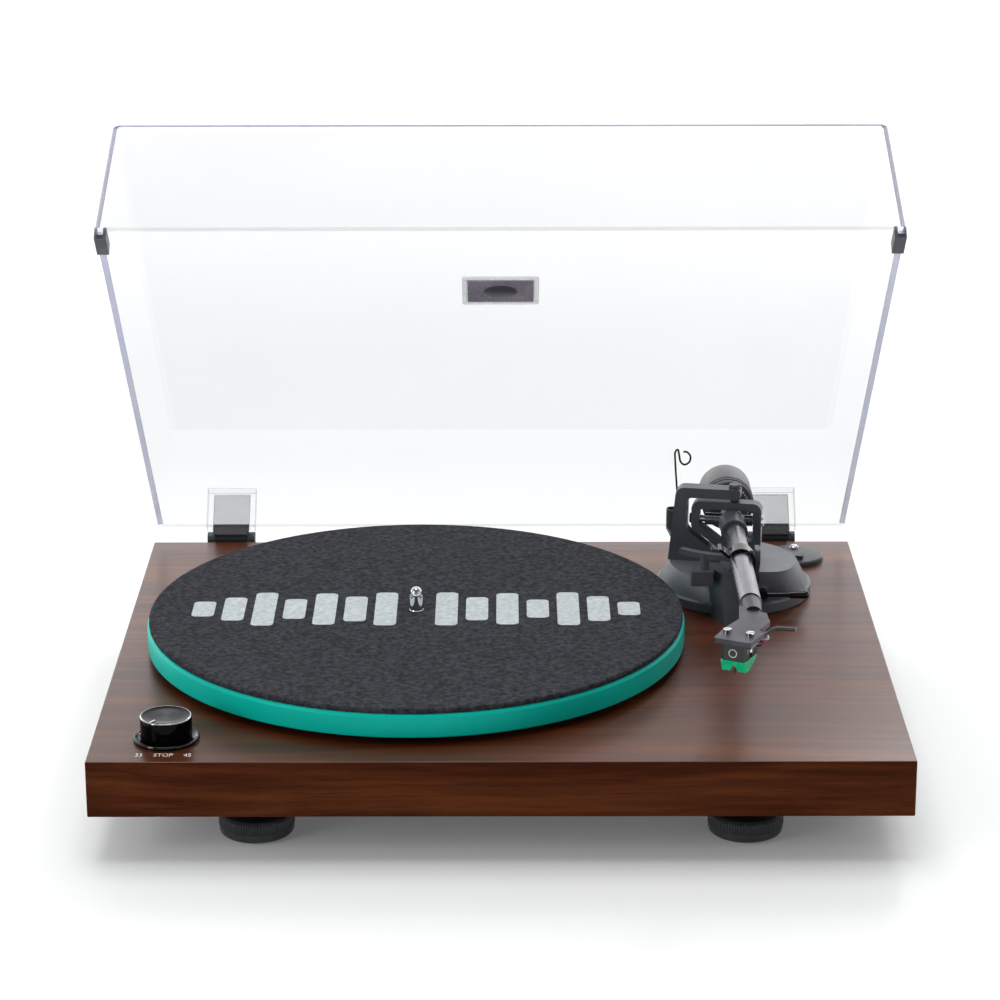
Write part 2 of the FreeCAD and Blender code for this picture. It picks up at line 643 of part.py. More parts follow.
def bearing_screws():
    """The upper and lower screws whose points carry the gimbal."""
    upper = spun([(0, 52.4), (1.0, 53.4), (2.4, 53.6), (2.4, 62.6), (3.6, 62.6), (3.6, 64.4), (3.0, 65.0),
                  (0, 65.0)], PIVOT_X, PIVOT_Y)
    lower = spun([(0, 27.4), (1.0, 26.4), (2.4, 26.0), (2.4, 19.6), (0, 19.6)], PIVOT_X, PIVOT_Y)
    return [upper, lower]


def rest_clip():
    """The springy hook over the tube: a half round with a flared lip on its left."""
    x = PIVOT_X + ARM_SIDE
    z = PIVOT_Z + (PIVOT_Y - 185) * math.tan(math.radians(ARM_TILT))
    outer, inner = TUBE_R + 1.9, TUBE_R + 0.4
    arch = rod_y(x, 180, 190, z, outer).cut(rod_y(x, 179, 191, z, inner))
    arch = arch.common(box(x - 20, x + 20, 179, 191, z + 2.2, z + 20))
    leg = box(x + inner + 0.05, REST_X, 180, 190, z - 5, z + 2.2)
    edge = math.sqrt(outer ** 2 - 2.2 ** 2)
    lip = slab_y([(x - edge + 0.2, z + 2.2), (x - edge + 1.9, z + 2.8), (x - edge - 3.4, z + 7.6),
                  (x - edge - 5.6, z + 7.4)], 180, 190, 0.3)
    return arch.fuse(leg).fuse(lip).removeSplitter()


def lift_point(angle, radius=LIFT_ARC_R):
    """A point on the lift's arc, by its angle inwards from straight forward."""
    turn = math.radians(angle)
    return PIVOT_X - radius * math.sin(turn), PIVOT_Y - radius * math.cos(turn)


LIFT_TOP = PIVOT_Z + LIFT_ARC_R * math.tan(math.radians(ARM_TILT)) - TUBE_R - 0.35


def lift_bar():
    """The curved bar that raises the tube, on its sliding column."""
    inner, outer = LIFT_ARC_R - 2.0, LIFT_ARC_R + 2.0
    ends = (-3.5, 44.0)
    corners = []
    for radius in (inner, outer):
        corners.append([V(*lift_point(a, radius), LIFT_TOP - 3.2) for a in (ends[0], 20.0, ends[1])])
    edges = [Part.Arc(*corners[0]).toShape(), Part.makeLine(corners[0][2], corners[1][2]),
             Part.Arc(*corners[1]).toShape(), Part.makeLine(corners[1][0], corners[0][0])]
    bar = Part.Face(Part.Wire(Part.__sortEdges__(edges))).extrude(V(0, 0, 3.2))
    x, y = lift_point(24.5)
    column = post(x, y, 18.2, LIFT_TOP - 1, 2.6)
    return bar.fuse(column).removeSplitter()


def cue_lever():
    """A cranked lever on a short shaft, with a thicker grip, lying forward while the arm is raised."""
    shaft = rod_y(150.4, 214.4, 219.7, 12.2, 2.6)
    stalk = rod_x(150.4, 166.5, 216.4, 12.0, 1.4)
    grip = Part.makeCone(2.2, 2.5, 9.0, V(165.5, 216.4, 12.0), X_AXIS)
    end = Part.makeSphere(2.5, V(174.5, 216.4, 12.0))
    return shaft.fuse([stalk, grip, end]).removeSplitter()


def rear_disc():
    """A flat round cover behind the tonearm, with a raised pad."""
    disc = spun([(0, 0), (17.2, 0), (17.2, 2.2), (16.4, 3.0), (13.4, 3.2), (0, 3.2)], 177.0, 314.0)
    pad = slab_z([(169, 303.5), (181, 301.5), (182.2, 309.5), (170.2, 311.5)], 3.2, 5.6, 1.0)
    return [disc, pad]


def disc_screw():
    return spun([(0, 3.2), (2.8, 3.2), (2.8, 4.2), (2.0, 5.0), (0, 5.0)], 177.6, 323.5)


def antiskate_wire():
    """A bent wire that leans back from the base and ends in an open loop."""
    root = V(WIRE_X, WIRE_Y, 8)
    crest = V(104.4, 323.5, 62.6)
    points = [root, crest, V(106.6, 325.5, 65.0), V(107.8, 324.4, 57.4), V(112.0, 323.4, 56.4),
              V(114.0, 323.4, 61.0), V(109.6, 324.0, 64.2)]
    wire = bent_wire(points, 0.65, 0.9)
    socket = post(WIRE_X, WIRE_Y, 7.5, 14, 2.6)
    bore = Part.makeCylinder(0.65, 30, root, crest - root)
    return [socket.cut(bore), wire]


def weight_post():
    """The peg on the arch's left side that the anti-skate weight is parked on."""
    shelf = slab_z([(99.3, 262.5), (104.5, 262.5), (105.2, 279.5), (97.2, 279.5)], 31.0, 33.0, 1.0)
    peg = post(PARK_X, PARK_Y, 33.0, 41.5, 1.2)
    return shelf.fuse(peg).cut(support_frame()).removeSplitter()


def antiskate_weight():
    return spun([(1.25, 33.1), (3.6, 33.1), (4.0, 33.5), (4.0, 44.6), (3.2, 44.6), (2.9, 42.6), (1.25, 42.6)],
                PARK_X, PARK_Y)


# ---- tonearm: what turns ----
def gimbal_ring():
    """The upright frame that swings about the pivot and carries the cross bearing."""
    outer = [(-24.9, 54.5), (15.9, 54.5), (15.9, 26.6), (-9.2, 26.6), (-24.9, 38.4)]
    inner = [(-20.2, 49.9), (11.2, 49.9), (11.2, 30.9), (-7.5, 30.9), (-20.2, 40.4)]
    ring = slab_y([(PIVOT_X + x, z) for x, z in outer], PIVOT_Y - 4, PIVOT_Y + 4, [5, 5, 3, 2, 3])
    window = slab_y([(PIVOT_X + x, z) for x, z in inner], PIVOT_Y - 5, PIVOT_Y + 5, [2.5, 2.5, 2, 2, 2])
    ring = yawed(ring.cut(window))
    top_cup = spun([(0, 52.1), (1.0, 53.1), (2.7, 53.1), (2.7, 55), (0, 55)], PIVOT_X, PIVOT_Y)
    low_cup = spun([(0, 27.7), (1.0, 26.7), (2.7, 26.7), (2.7, 26), (0, 26)], PIVOT_X, PIVOT_Y)
    cross_holes = yawed(rod_x(PIVOT_X - 30, PIVOT_X - 18, PIVOT_Y, PIVOT_Z, 2.0)
                        .fuse(rod_x(PIVOT_X + 10, PIVOT_X + 20, PIVOT_Y, PIVOT_Z, 2.0)))
    return ring.cut([top_cup, low_cup, cross_holes]).removeSplitter()


def gimbal_screws():
    """The cross bearing's two pointed screws, left and right."""
    screws = []
    for side, face, length in ((-1, -24.9, 24.9 - BARREL_LEFT), (1, 15.9, 15.9 - BARREL_RIGHT)):
        shank = Part.makeCylinder(2.0, length - 0.1, V(face, 0, 0), V(-side, 0, 0))
        point = Part.makeCone(2.0, 0.3, 1.6, V(face - side * (length - 0.1), 0, 0), V(-side, 0, 0))
        head = Part.makeCone(3.4, 2.7, 1.3, V(face, 0, 0), V(side, 0, 0))
        screws.append(yawed(shank.fuse([point, head]).removeSplitter().translated(PIVOT)))
    return screws


def pivot_barrels():
    """The arm's cross shaft: a long polished barrel on the left and a short one on the right."""
    left = Part.makeCylinder(3.6, BARREL_LEFT - 7.0, V(-BARREL_LEFT, 0, 0), X_AXIS)
    left = left.cut(Part.makeCone(2.6, 0.4, 2.4, V(-BARREL_LEFT, 0, 0), X_AXIS))
    right = Part.makeCylinder(3.2, BARREL_RIGHT - 3.6, V(3.6, 0, 0), X_AXIS)
    right = right.cut(Part.makeCone(2.6, 0.4, 2.4, V(BARREL_RIGHT, 0, 0), V(-1, 0, 0)))
    return [on_arm(s.rotated(V(0, 0, 0), Z_AXIS, -GIMBAL_YAW)) for s in (left, right)]


def arm_housing():
    """The tapered black hub round the tube's root, with a ring at its front."""
    profile = [(0, -8), (TUBE_R, -8), (TUBE_R, -25.5), (7.7, -25.5), (7.7, -22.5), (6.9, -21.5), (8.0, -7),
               (6.3, -6), (6.3, 7), (0, 7)]
    hub = on_arm(spun_y(profile, ARM_SIDE, 0))
    for barrel in pivot_barrels():
        hub = hub.cut(barrel)
    return hub


def arm_tube():
    return on_arm(spun_y([(5.2, -8), (TUBE_R, -8), (TUBE_R, TUBE_END), (5.2, TUBE_END)], ARM_SIDE, 0))


def head_frame(shape):
    """Turn a piece drawn on the cartridge's axis by the headshell's offset and put it under the plate."""
    return on_arm(shape.rotated(V(0, 0, 0), Z_AXIS, -HEAD_OFFSET).translated(V(HEAD_X, HEAD_Y, 0)))


HEAD_X = -12.2           # midpoint between the two cartridge screws, from the pivot
HEAD_Y = -207.5
PLATE_Z0 = 0.4
PLATE_Z1 = 3.0


def headshell():
    """The dark plate with its neck round the tube's end."""
    points = [(-9.0, -163), (-10.3, -183.5), (-19.2, -198.5), (-25.8, -213.8), (-7.4, -222.6), (1.4, -206.4),
              (-1.2, -202.4), (5.6, -188.5), (4.9, -174.2), (1.8, -172.8), (1.8, -163)]
    plate = slab_z(points, PLATE_Z0, PLATE_Z1, [0.6, 4, 4, 1.2, 1.2, 0.8, 0.8, 1.5, 1.5, 0.8, 0.6])
    neck = Part.makeCone(TUBE_R - 0.6, 4.9, 19.0, V(ARM_SIDE, TUBE_END, 0), V(0, -1, 0))
    plug = rod_y(ARM_SIDE, TUBE_END, TUBE_END + 8, 0, 5.18)
    body = plate.fuse([neck, plug])
    for side in (-6.35, 6.35):
        hole = Part.makeCylinder(1.35, 12, V(side, 0, -6))
        hole = hole.rotated(V(0, 0, 0), Z_AXIS, -HEAD_OFFSET).translated(V(HEAD_X, HEAD_Y, 0))
        body = body.cut(hole)
    return on_arm(body.removeSplitter())


def finger_lift():
    """The bent rod that sticks out of the headshell's right side."""
    points = [V(-0.6, -202.2, -0.5), V(3.0, -198.6, -0.2), V(8.0, -194.8, 1.6), V(18.4, -198.6, 2.2)]
    return on_arm(bent_wire(points, 1.15, 4.0)).cut(headshell())


def cartridge_body():
    """Mounting ears with a blunt-nosed body below them."""
    ears = slab_z([(-8.8, -5.5), (8.8, -5.5), (8.8, 6.5), (-8.8, 6.5)], -3.0, PLATE_Z0, 1.0)
    body = slab_z([(-5.6, -8.2), (5.6, -8.2), (7.0, -5.4), (7.0, 9.6), (-7.0, 9.6), (-7.0, -5.4)], -9.6, PLATE_Z0 - 0.8,
                  0.6)
    body = ears.fuse(body)
    for side in (-6.35, 6.35):
        body = body.cut(Part.makeCylinder(1.3, 20, V(side, 0, -12)))
    return head_frame(body.removeSplitter())


def cartridge_screws():
    """Two chrome cheese-head screws through the plate and the ears."""
    screws = []
    for side in (-6.35, 6.35):
        head = Part.makeCylinder(2.3, 1.7, V(side, 0, PLATE_Z1))
        slot = Part.makeBox(5.0, 0.7, 0.8, V(side - 2.5, -0.35, PLATE_Z1 + 1.0))
        shank = Part.makeCylinder(1.25, 9.0, V(side, 0, PLATE_Z1 - 9.0))
        screws.append(head_frame(head.cut(slot).fuse(shank).removeSplitter()))
    return screws


def cartridge_leads():
    """Four pins behind the cartridge, each with a coloured lead that runs up into the neck."""
    leads = []
    for side, low in ((-3.6, -3.0), (3.6, -3.0), (-3.6, -6.6), (3.6, -6.6)):
        start = V(side, 9.6, low)
        points = [start, V(side, 15.6, low), V(side * 0.9 + 1.0, 19.6, low * 0.3 - 1.6)]
        leads.append(head_frame(bent_wire(points, 0.75, 1.6)))
    return leads


def stylus_unit():
    """The green plug-on wedge with a notch that shows the cantilever."""
    side = slab_x([(-8.6, -9.6), (9.0, -9.6), (9.0, -12.0), (-1.0, -16.2), (-5.6, -16.0)], -6.8, 6.8)
    notch = slab_y([(-2.6, -17), (2.6, -17), (0.9, -12.6), (-0.9, -12.6)], -10, 4)
    return head_frame(side.cut(notch))


def cantilever():
    """The thin lever and the tip at its end."""
    lever = bent_wire([V(0, 4.4, -13.0), V(0, -1.5, -14.8), V(0, -4.9, -16.6)], 0.45, 1.0)
    tip = Part.makeCone(0.5, 0.12, 1.5, V(0, -4.9, -16.5), V(0, 0, -1))
    return head_frame(lever.fuse(tip)).cut(stylus_unit())


def rear_stub():
    """The threaded rod behind the hub that the counterweight runs on."""
    return on_arm(rod_y(ARM_SIDE, 7, 58, 0, 3.5))


def antiskate_stub():
    """The thin grooved rod behind the gimbal that an anti-skate thread would hook on."""
    profile = [(0, 4.0), (1.0, 4.0), (1.0, 16.0), (0.7, 16.4), (0.7, 17.2), (1.0, 17.6), (1.0, 19), (0, 19)]
    return yawed(spun_y(profile, -22.5, 6.5).translated(PIVOT))


def counterweight():
    profile = [(3.56, 30.6), (14.7, 30.6), (WEIGHT_R, 31.4), (WEIGHT_R, 61.2), (14.7, 62.0), (9.5, 62.0),
               (9.0, 60.6), (3.56, 60.6)]
    return on_arm(spun_y(profile, ARM_SIDE, 0))


def force_dial():
    """The ring in front of the counterweight that carries the tracking-force marks."""
    profile = [(3.56, 25.4), (11.6, 25.4), (12.6, 27.4), (14.2, 27.4), (15.0, 28.2), (15.0, 30.3), (3.56, 30.3)]
    return on_arm(spun_y(profile, ARM_SIDE, 0))


def main():
    os.makedirs("parts", exist_ok=True)
    save("plinth", plinth())
    save("base_plate", base_plate())
    save("base_screws", *base_screws())
    save("motor", *motor())
    save("motor_mount", *motor_mount())
    save("bearing_housing", bearing_housing())
    save("drive_belt", drive_belt())
    save("knob_dish", knob_dish())
    save("speed_switch", *speed_switch())
    save("control_board", *control_board())
    save("rear_panel", rear_panel())
    save("audio_sockets", *audio_sockets())
    save("ground_terminal", *ground_terminal())
    save("power_inlet", power_inlet())
    save("hinge_brackets", *hinge_bracket(-HINGE_X), *hinge_bracket(HINGE_X))
    save("hinge_pins", hinge_pin(-HINGE_X), hinge_pin(HINGE_X))
    save("foot_collars", *[foot_collar(x, y) for x, y in FOOT_SPOTS.values()])
    for name, (x, y) in FOOT_SPOTS.items():
        save(name, *foot(x, y))
    save("platter", platter())
    save("platter_mat", platter_mat())
    save("spindle", spindle())
    save("drive_ring", drive_ring())
    save("motor_pulley", motor_pulley())
    save("speed_knob", speed_knob())
    save("lid_shell", *[opened(panel) for panel in lid_shell_closed()])
    save("lid_bumpers", *[opened(clip) for clip in lid_bumpers()])
    save("hinge_pockets", opened(hinge_pocket(-HINGE_X)), opened(hinge_pocket(HINGE_X)))
    save("hinge_leaves", opened(hinge_leaf(-HINGE_X)), opened(hinge_leaf(HINGE_X)))
    save("lid_badge", opened(lid_badge()))
    save("tonearm_base", tonearm_base())
    save("rest_bracket", rest_bracket())
    save("rest_clip", rest_clip())
    save("cue_housing", *cue_housing(), *cue_screw())
    save("tonearm_nut", tonearm_nut())
    save("support_frame", support_frame())
    save("bearing_screws", *bearing_screws())
    save("lift_bar", lift_bar())
    save("cue_lever", cue_lever())
    save("rear_disc", *rear_disc(), disc_screw())
    save("antiskate_wire", *antiskate_wire())
    save("weight_post", weight_post())
    save("antiskate_weight", antiskate_weight())
    save("gimbal_ring", gimbal_ring())
    save("gimbal_screws", *gimbal_screws(), antiskate_stub())
    save("pivot_barrels", *pivot_barrels())
    save("arm_housing", arm_housing())
    save("arm_tube", arm_tube())
    save("headshell", headshell())
    save("finger_lift", finger_lift())
    save("cartridge_body", cartridge_body())
    save("cartridge_screws", *cartridge_screws())
    save("cartridge_leads", *cartridge_leads())
    save("stylus_unit", stylus_unit())
    save("cantilever", cantilever())
    save("rear_stub", rear_stub())
    save("counterweight", counterweight())
    save("force_dial", force_dial())


main()
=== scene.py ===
"""Belt-drive record player: finishes, fine shapes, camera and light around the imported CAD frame.

Lengths in this file are millimetres in deck coordinates (x right from the plinth's middle, y back from its
front face, z up from its top face) until place() turns them into the row's metres.
"""

import json
import math

import bmesh
import bpy
import numpy as np
from mathutils import Matrix, Vector


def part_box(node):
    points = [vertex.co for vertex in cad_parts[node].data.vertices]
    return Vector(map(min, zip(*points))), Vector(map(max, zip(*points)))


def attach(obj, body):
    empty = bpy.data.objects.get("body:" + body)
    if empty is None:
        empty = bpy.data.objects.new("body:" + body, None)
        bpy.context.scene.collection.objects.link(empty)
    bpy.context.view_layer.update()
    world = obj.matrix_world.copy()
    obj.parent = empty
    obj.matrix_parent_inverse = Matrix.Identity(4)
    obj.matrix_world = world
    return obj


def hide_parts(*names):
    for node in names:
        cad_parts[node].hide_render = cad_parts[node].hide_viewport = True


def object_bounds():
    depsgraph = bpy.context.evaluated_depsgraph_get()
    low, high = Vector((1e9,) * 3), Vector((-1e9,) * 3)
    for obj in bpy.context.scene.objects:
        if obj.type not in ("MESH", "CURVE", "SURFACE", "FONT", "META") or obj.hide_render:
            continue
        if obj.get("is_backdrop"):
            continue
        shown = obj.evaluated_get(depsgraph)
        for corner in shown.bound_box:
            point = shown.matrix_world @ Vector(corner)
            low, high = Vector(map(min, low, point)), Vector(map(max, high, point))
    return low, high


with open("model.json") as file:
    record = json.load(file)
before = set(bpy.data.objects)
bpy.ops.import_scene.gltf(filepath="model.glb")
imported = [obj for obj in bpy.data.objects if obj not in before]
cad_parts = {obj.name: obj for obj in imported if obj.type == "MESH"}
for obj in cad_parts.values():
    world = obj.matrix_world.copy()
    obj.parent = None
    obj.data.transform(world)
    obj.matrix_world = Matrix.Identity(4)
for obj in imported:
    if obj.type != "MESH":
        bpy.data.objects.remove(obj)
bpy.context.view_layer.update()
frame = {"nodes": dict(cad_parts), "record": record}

plinth_low, plinth_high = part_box("plinth")
DECK = np.array([(plinth_low[0] + plinth_high[0]) / 2, plinth_low[1], plinth_high[2]])
BODY_OF = {n: body for body, nodes in frame["record"]["behaviour"]["bodies"].items() for n in nodes}

# ---- sizes shared with the CAD, in mm ----
PLINTH_D, PLINTH_H = 345.3, 30.6
FLOOR_Z = -57.3
POCKET_MOUTH_Z = 8.0
MM = 1000.0          # to a metre
PLATTER = (-47.4, 171.8)
KNOB = (-174.0, 31.5)
PIVOT = np.array([136.2, 259.0, 43.0])
GIMBAL_YAW, ARM_TILT, HEAD_OFFSET = map(math.radians, (10.0, 1.2, 25.0))
HEAD = np.array([-12.2, -207.5, 0.0])
ARM_SIDE = -1.7
HINGE_Y, HINGE_Z, LID_OPEN = PLINTH_D + 9.1, -0.8, math.radians(45.6)
WELD = 2e-6        # metres: grid points closer than this are one point
CAD_WELD = 1e-6    # metres: the same for a CAD node's loose triangles


# ---- shapes ----
def place(points):
    """Deck millimetres to the row's metres."""
    return np.asarray(points, float) / MM + DECK


def grid(rows, columns, close_rows=False, close_columns=False):
    """The quads of a rows x columns grid of points, numbered row by row. A closed side joins last to first."""
    i = np.arange(rows if close_rows else rows - 1)[:, None]
    j = np.arange(columns if close_columns else columns - 1)[None, :]
    nexti, nextj = (i + 1) % rows, (j + 1) % columns
    corners = [i * columns + j, i * columns + nextj, nexti * columns + nextj, nexti * columns + j]
    return np.stack(np.broadcast_arrays(*corners), -1).reshape(-1, 4)


def shade_by_angle(mesh, sharp):
    """Smooth shading, except across edges whose faces meet at more than the sharp angle, in degrees."""
    for edge in mesh.edges:
        edge.smooth = len(edge.link_faces) == 2 and edge.calc_face_angle(0.0) < math.radians(sharp)
    for face in mesh.faces:
        face.smooth = True


def piece(name, points, faces, materials, body, stands_for=(), sharp=35.0, outward=True,
          face_slots=None, uv=None):
    """One finished mesh object: its points in deck mm, its faces as index rows, riding on a CAD body.

    Points nearer than WELD metres are merged, and edges sharper than sharp degrees stay crisp. outward turns
    every face away from the piece's inside.
    """
    mesh = bpy.data.meshes.new(name)
    mesh.from_pydata(place(points).tolist(), [], [tuple(int(k) for k in row) for row in faces])
    for material in materials:
        mesh.materials.append(material)
    if face_slots is not None:
        mesh.polygons.foreach_set("material_index", np.asarray(face_slots, np.int32))
    if uv is not None:
        layer = mesh.uv_layers.new(name="turning")
        corner = np.empty(len(mesh.loops), np.int32)
        mesh.loops.foreach_get("vertex_index", corner)
        layer.data.foreach_set("uv", np.asarray(uv, np.float32)[corner].ravel())
    work = bmesh.new()
    work.from_mesh(mesh)
    bmesh.ops.remove_doubles(work, verts=work.verts, dist=WELD)
    if outward:
        bmesh.ops.recalc_face_normals(work, faces=work.faces)
    shade_by_angle(work, sharp)
    work.to_mesh(mesh)
    work.free()
    made = bpy.data.objects.new(name, mesh)
    bpy.context.scene.collection.objects.link(made)
    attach(made, body)
    if stands_for:
        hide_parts(*stands_for)
    return made


def finished(node, material, sharp=30.0, bevel=0.0, edge=None):
    """A merged copy of a CAD node, smoothly shaded.

    A bevel, in mm, breaks the edges that are sharper than sharp degrees, in the edge material if one is given.
    """
    source = frame["nodes"][node]
    mesh = source.data.copy()
    mesh.name = node + "_finished"
    mesh.materials.clear()
    mesh.materials.append(material)
    work = bmesh.new()
    work.from_mesh(mesh)
    bmesh.ops.remove_doubles(work, verts=work.verts, dist=CAD_WELD)
    if bevel:
        bmesh.ops.dissolve_limit(work, angle_limit=math.radians(0.5), verts=work.verts, edges=work.edges)
    shade_by_angle(work, sharp)
    work.to_mesh(mesh)
    work.free()
    mesh.polygons.foreach_set("material_index", np.zeros(len(mesh.polygons), np.int32))
    made = bpy.data.objects.new(node + "_finished", mesh)
    made.matrix_world = source.matrix_world.copy()
    bpy.context.scene.collection.objects.link(made)
    if bevel:
        rounding = made.modifiers.new("edge", "BEVEL")
        rounding.width = bevel / MM
        rounding.segments = 2
        rounding.limit_method = "ANGLE"
        rounding.angle_limit = math.radians(sharp)
        rounding.harden_normals = True
        if edge:
            mesh.materials.append(edge)
            rounding.material = 1
    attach(made, BODY_OF[node])
    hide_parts(node)
    return made


def eased(profile, radius, steps=4):
    """A profile with its inner corners eased.

    Each corner c becomes the quadratic curve (1-t)^2 a + 2t(1-t) c + t^2 b, where a and b lie radius before and
    after it, or at 0.45 of the way to its neighbour if that is nearer.
    """
    profile = np.asarray(profile, float)
    before, here, after = profile[:-2], profile[1:-1], profile[2:]
    back, ahead = before - here, after - here
    back_len = np.linalg.norm(back, axis=1, keepdims=True)
    ahead_len = np.linalg.norm(ahead, axis=1, keepdims=True)
    start = here + back / back_len * np.minimum(radius, back_len * 0.45)
    end = here + ahead / ahead_len * np.minimum(radius, ahead_len * 0.45)
    t = np.linspace(0, 1, steps)[None, :, None]
    curve = (1 - t) ** 2 * start[:, None] + 2 * t * (1 - t) * here[:, None] + t ** 2 * end[:, None]
    return np.vstack([profile[:1], curve.reshape(-1, profile.shape[1]), profile[-1:]])


def turned(profile, centre, turns=160, relief=None):
    """A lathe: x = cx + r cos a, y = cy + r sin a, z = h for each (r, h) of the profile and each angle a.

    relief(angle, profile), if given, is added to the radius. The third result is a UV map: the share of a turn,
    and the radius in units of 20 mm.
    """
    profile = np.asarray(profile, float)
    angle = np.linspace(0, 2 * math.pi, turns, endpoint=False)
    radius = np.repeat(profile[:, :1], turns, axis=1)
    if relief is not None:
        radius = radius + relief(angle[None, :], profile)
    x = centre[0] + radius * np.cos(angle)
    y = centre[1] + radius * np.sin(angle)
    z = np.repeat(profile[:, 1:2], turns, axis=1)
    points = np.stack([x, y, z], -1).reshape(-1, 3)
    uv = np.stack([np.broadcast_to(angle / (2 * math.pi), radius.shape), radius / 20.0], -1).reshape(-1, 2)
    return points, grid(len(profile), turns, close_columns=True), uv


def swept(path, radius, sides=12):
    """A round rod along a smooth path, closed at both ends.

    Each point is path(s) + radius (cos a side + sin a up), with side and up square to the path's direction.
    """
    path = np.asarray(path, float)
    ahead = np.gradient(path, axis=0)
    ahead /= np.linalg.norm(ahead, axis=1, keepdims=True)
    side = np.cross(ahead, [0.31, 0.17, 0.93])
    side /= np.linalg.norm(side, axis=1, keepdims=True)
    up = np.cross(side, ahead)
    angle = np.linspace(0, 2 * math.pi, sides, endpoint=False)
    ring = np.cos(angle)[None, :, None] * side[:, None] + np.sin(angle)[None, :, None] * up[:, None]
    points = path[:, None] + radius * ring
    points = np.concatenate([path[:1, None].repeat(sides, 1), points, path[-1:, None].repeat(sides, 1)])
    return points.reshape(-1, 3), grid(len(path) + 2, sides, close_columns=True)


def curve_through(points, samples=40):
    """A smooth path through a few points: a Catmull-Rom curve, whose cubic runs from b to c and heads at each
    point along the line between that point's neighbours."""
    p = np.asarray(points, float)
    p = np.vstack([2 * p[0] - p[1], p, 2 * p[-1] - p[-2]])
    s = np.linspace(0, len(p) - 3 - 1e-9, samples)
    k = s.astype(int)
    t = (s - k)[:, None]
    a, b, c, d = p[k], p[k + 1], p[k + 2], p[k + 3]
    square, cube = 2 * a - 5 * b + 4 * c - d, 3 * b - a - 3 * c + d
    return 0.5 * (2 * b + (c - a) * t + square * t ** 2 + cube * t ** 3)


def box_points(low, high):
    """The eight corners of an upright box, and its six faces."""
    x, y, z = zip(low, high)
    points = [(x[i & 1], y[i >> 1 & 1], z[i >> 2 & 1]) for i in range(8)]
    faces = [(0, 2, 3, 1), (4, 5, 7, 6), (0, 1, 5, 4), (2, 6, 7, 3), (0, 4, 6, 2), (1, 3, 7, 5)]
    return np.array(points, float), faces


def joined(parts):
    """Several (points, faces) shapes as one, their face numbers shifted along."""
    points, faces, start = [], [], 0
    for part_points, part_faces in parts:
        points.append(np.asarray(part_points, float))
        faces.extend([tuple(int(k) + start for k in row) for row in part_faces])
        start += len(part_points)
    return np.vstack(points), faces


def on_arm(points):
    """Arm coordinates (from the pivot, tube along -Y) to deck, with the arm raised."""
    cross = Vector((math.cos(GIMBAL_YAW), -math.sin(GIMBAL_YAW), 0))
    turn = np.array(Matrix.Rotation(-ARM_TILT, 3, cross))
    return np.asarray(points, float) @ turn.T + PIVOT


def on_head(points):
    """Cartridge coordinates (from between its screws) to deck."""
    c, s = math.cos(HEAD_OFFSET), math.sin(HEAD_OFFSET)
    turn = np.array([[c, s, 0], [-s, c, 0], [0, 0, 1]])
    return on_arm(np.asarray(points, float) @ turn.T + HEAD)


def opened(points):
    """Closed-lid coordinates to deck, with the lid swung open about its pins."""
    p = np.asarray(points, float) - [0, HINGE_Y, HINGE_Z]
    c, s = math.cos(LID_OPEN), math.sin(LID_OPEN)
    return np.stack([p[:, 0], p[:, 1] * c + p[:, 2] * s + HINGE_Y, p[:, 2] * c - p[:, 1] * s + HINGE_Z], -1)


# ---- material helpers ----
def ink(code):
    """An sRGB hex code as linear RGBA."""
    parts = [int(code[k:k + 2], 16) / 255 for k in (1, 3, 5)]
    return tuple(p / 12.92 if p <= 0.04045 else ((p + 0.055) / 1.055) ** 2.4 for p in parts) + (1.0,)


def add(tree, kind, links=None, **settings):
    """Add a node. Settings are its properties; links are its inputs, each another node's output or a value."""
    made = tree.nodes.new(kind)
    for key, value in settings.items():
        setattr(made, key, value)
    for key, value in (links or {}).items():
        if isinstance(value, bpy.types.NodeSocket):
            tree.links.new(value, made.inputs[key])
        else:
            made.inputs[key].default_value = value
    return made


def blank(name):
    """A new material, its tree, its shader and its Object coordinates."""
    material = bpy.data.materials.new(name)
    material.use_nodes = True
    tree = material.node_tree
    shader = tree.nodes["Principled BSDF"]
    where = add(tree, "ShaderNodeTexCoord").outputs["Object"]
    return material, tree, shader, where


def per_mm(size):
    """Noise scale, in Object metres, whose features are about size mm across."""
    return MM / size


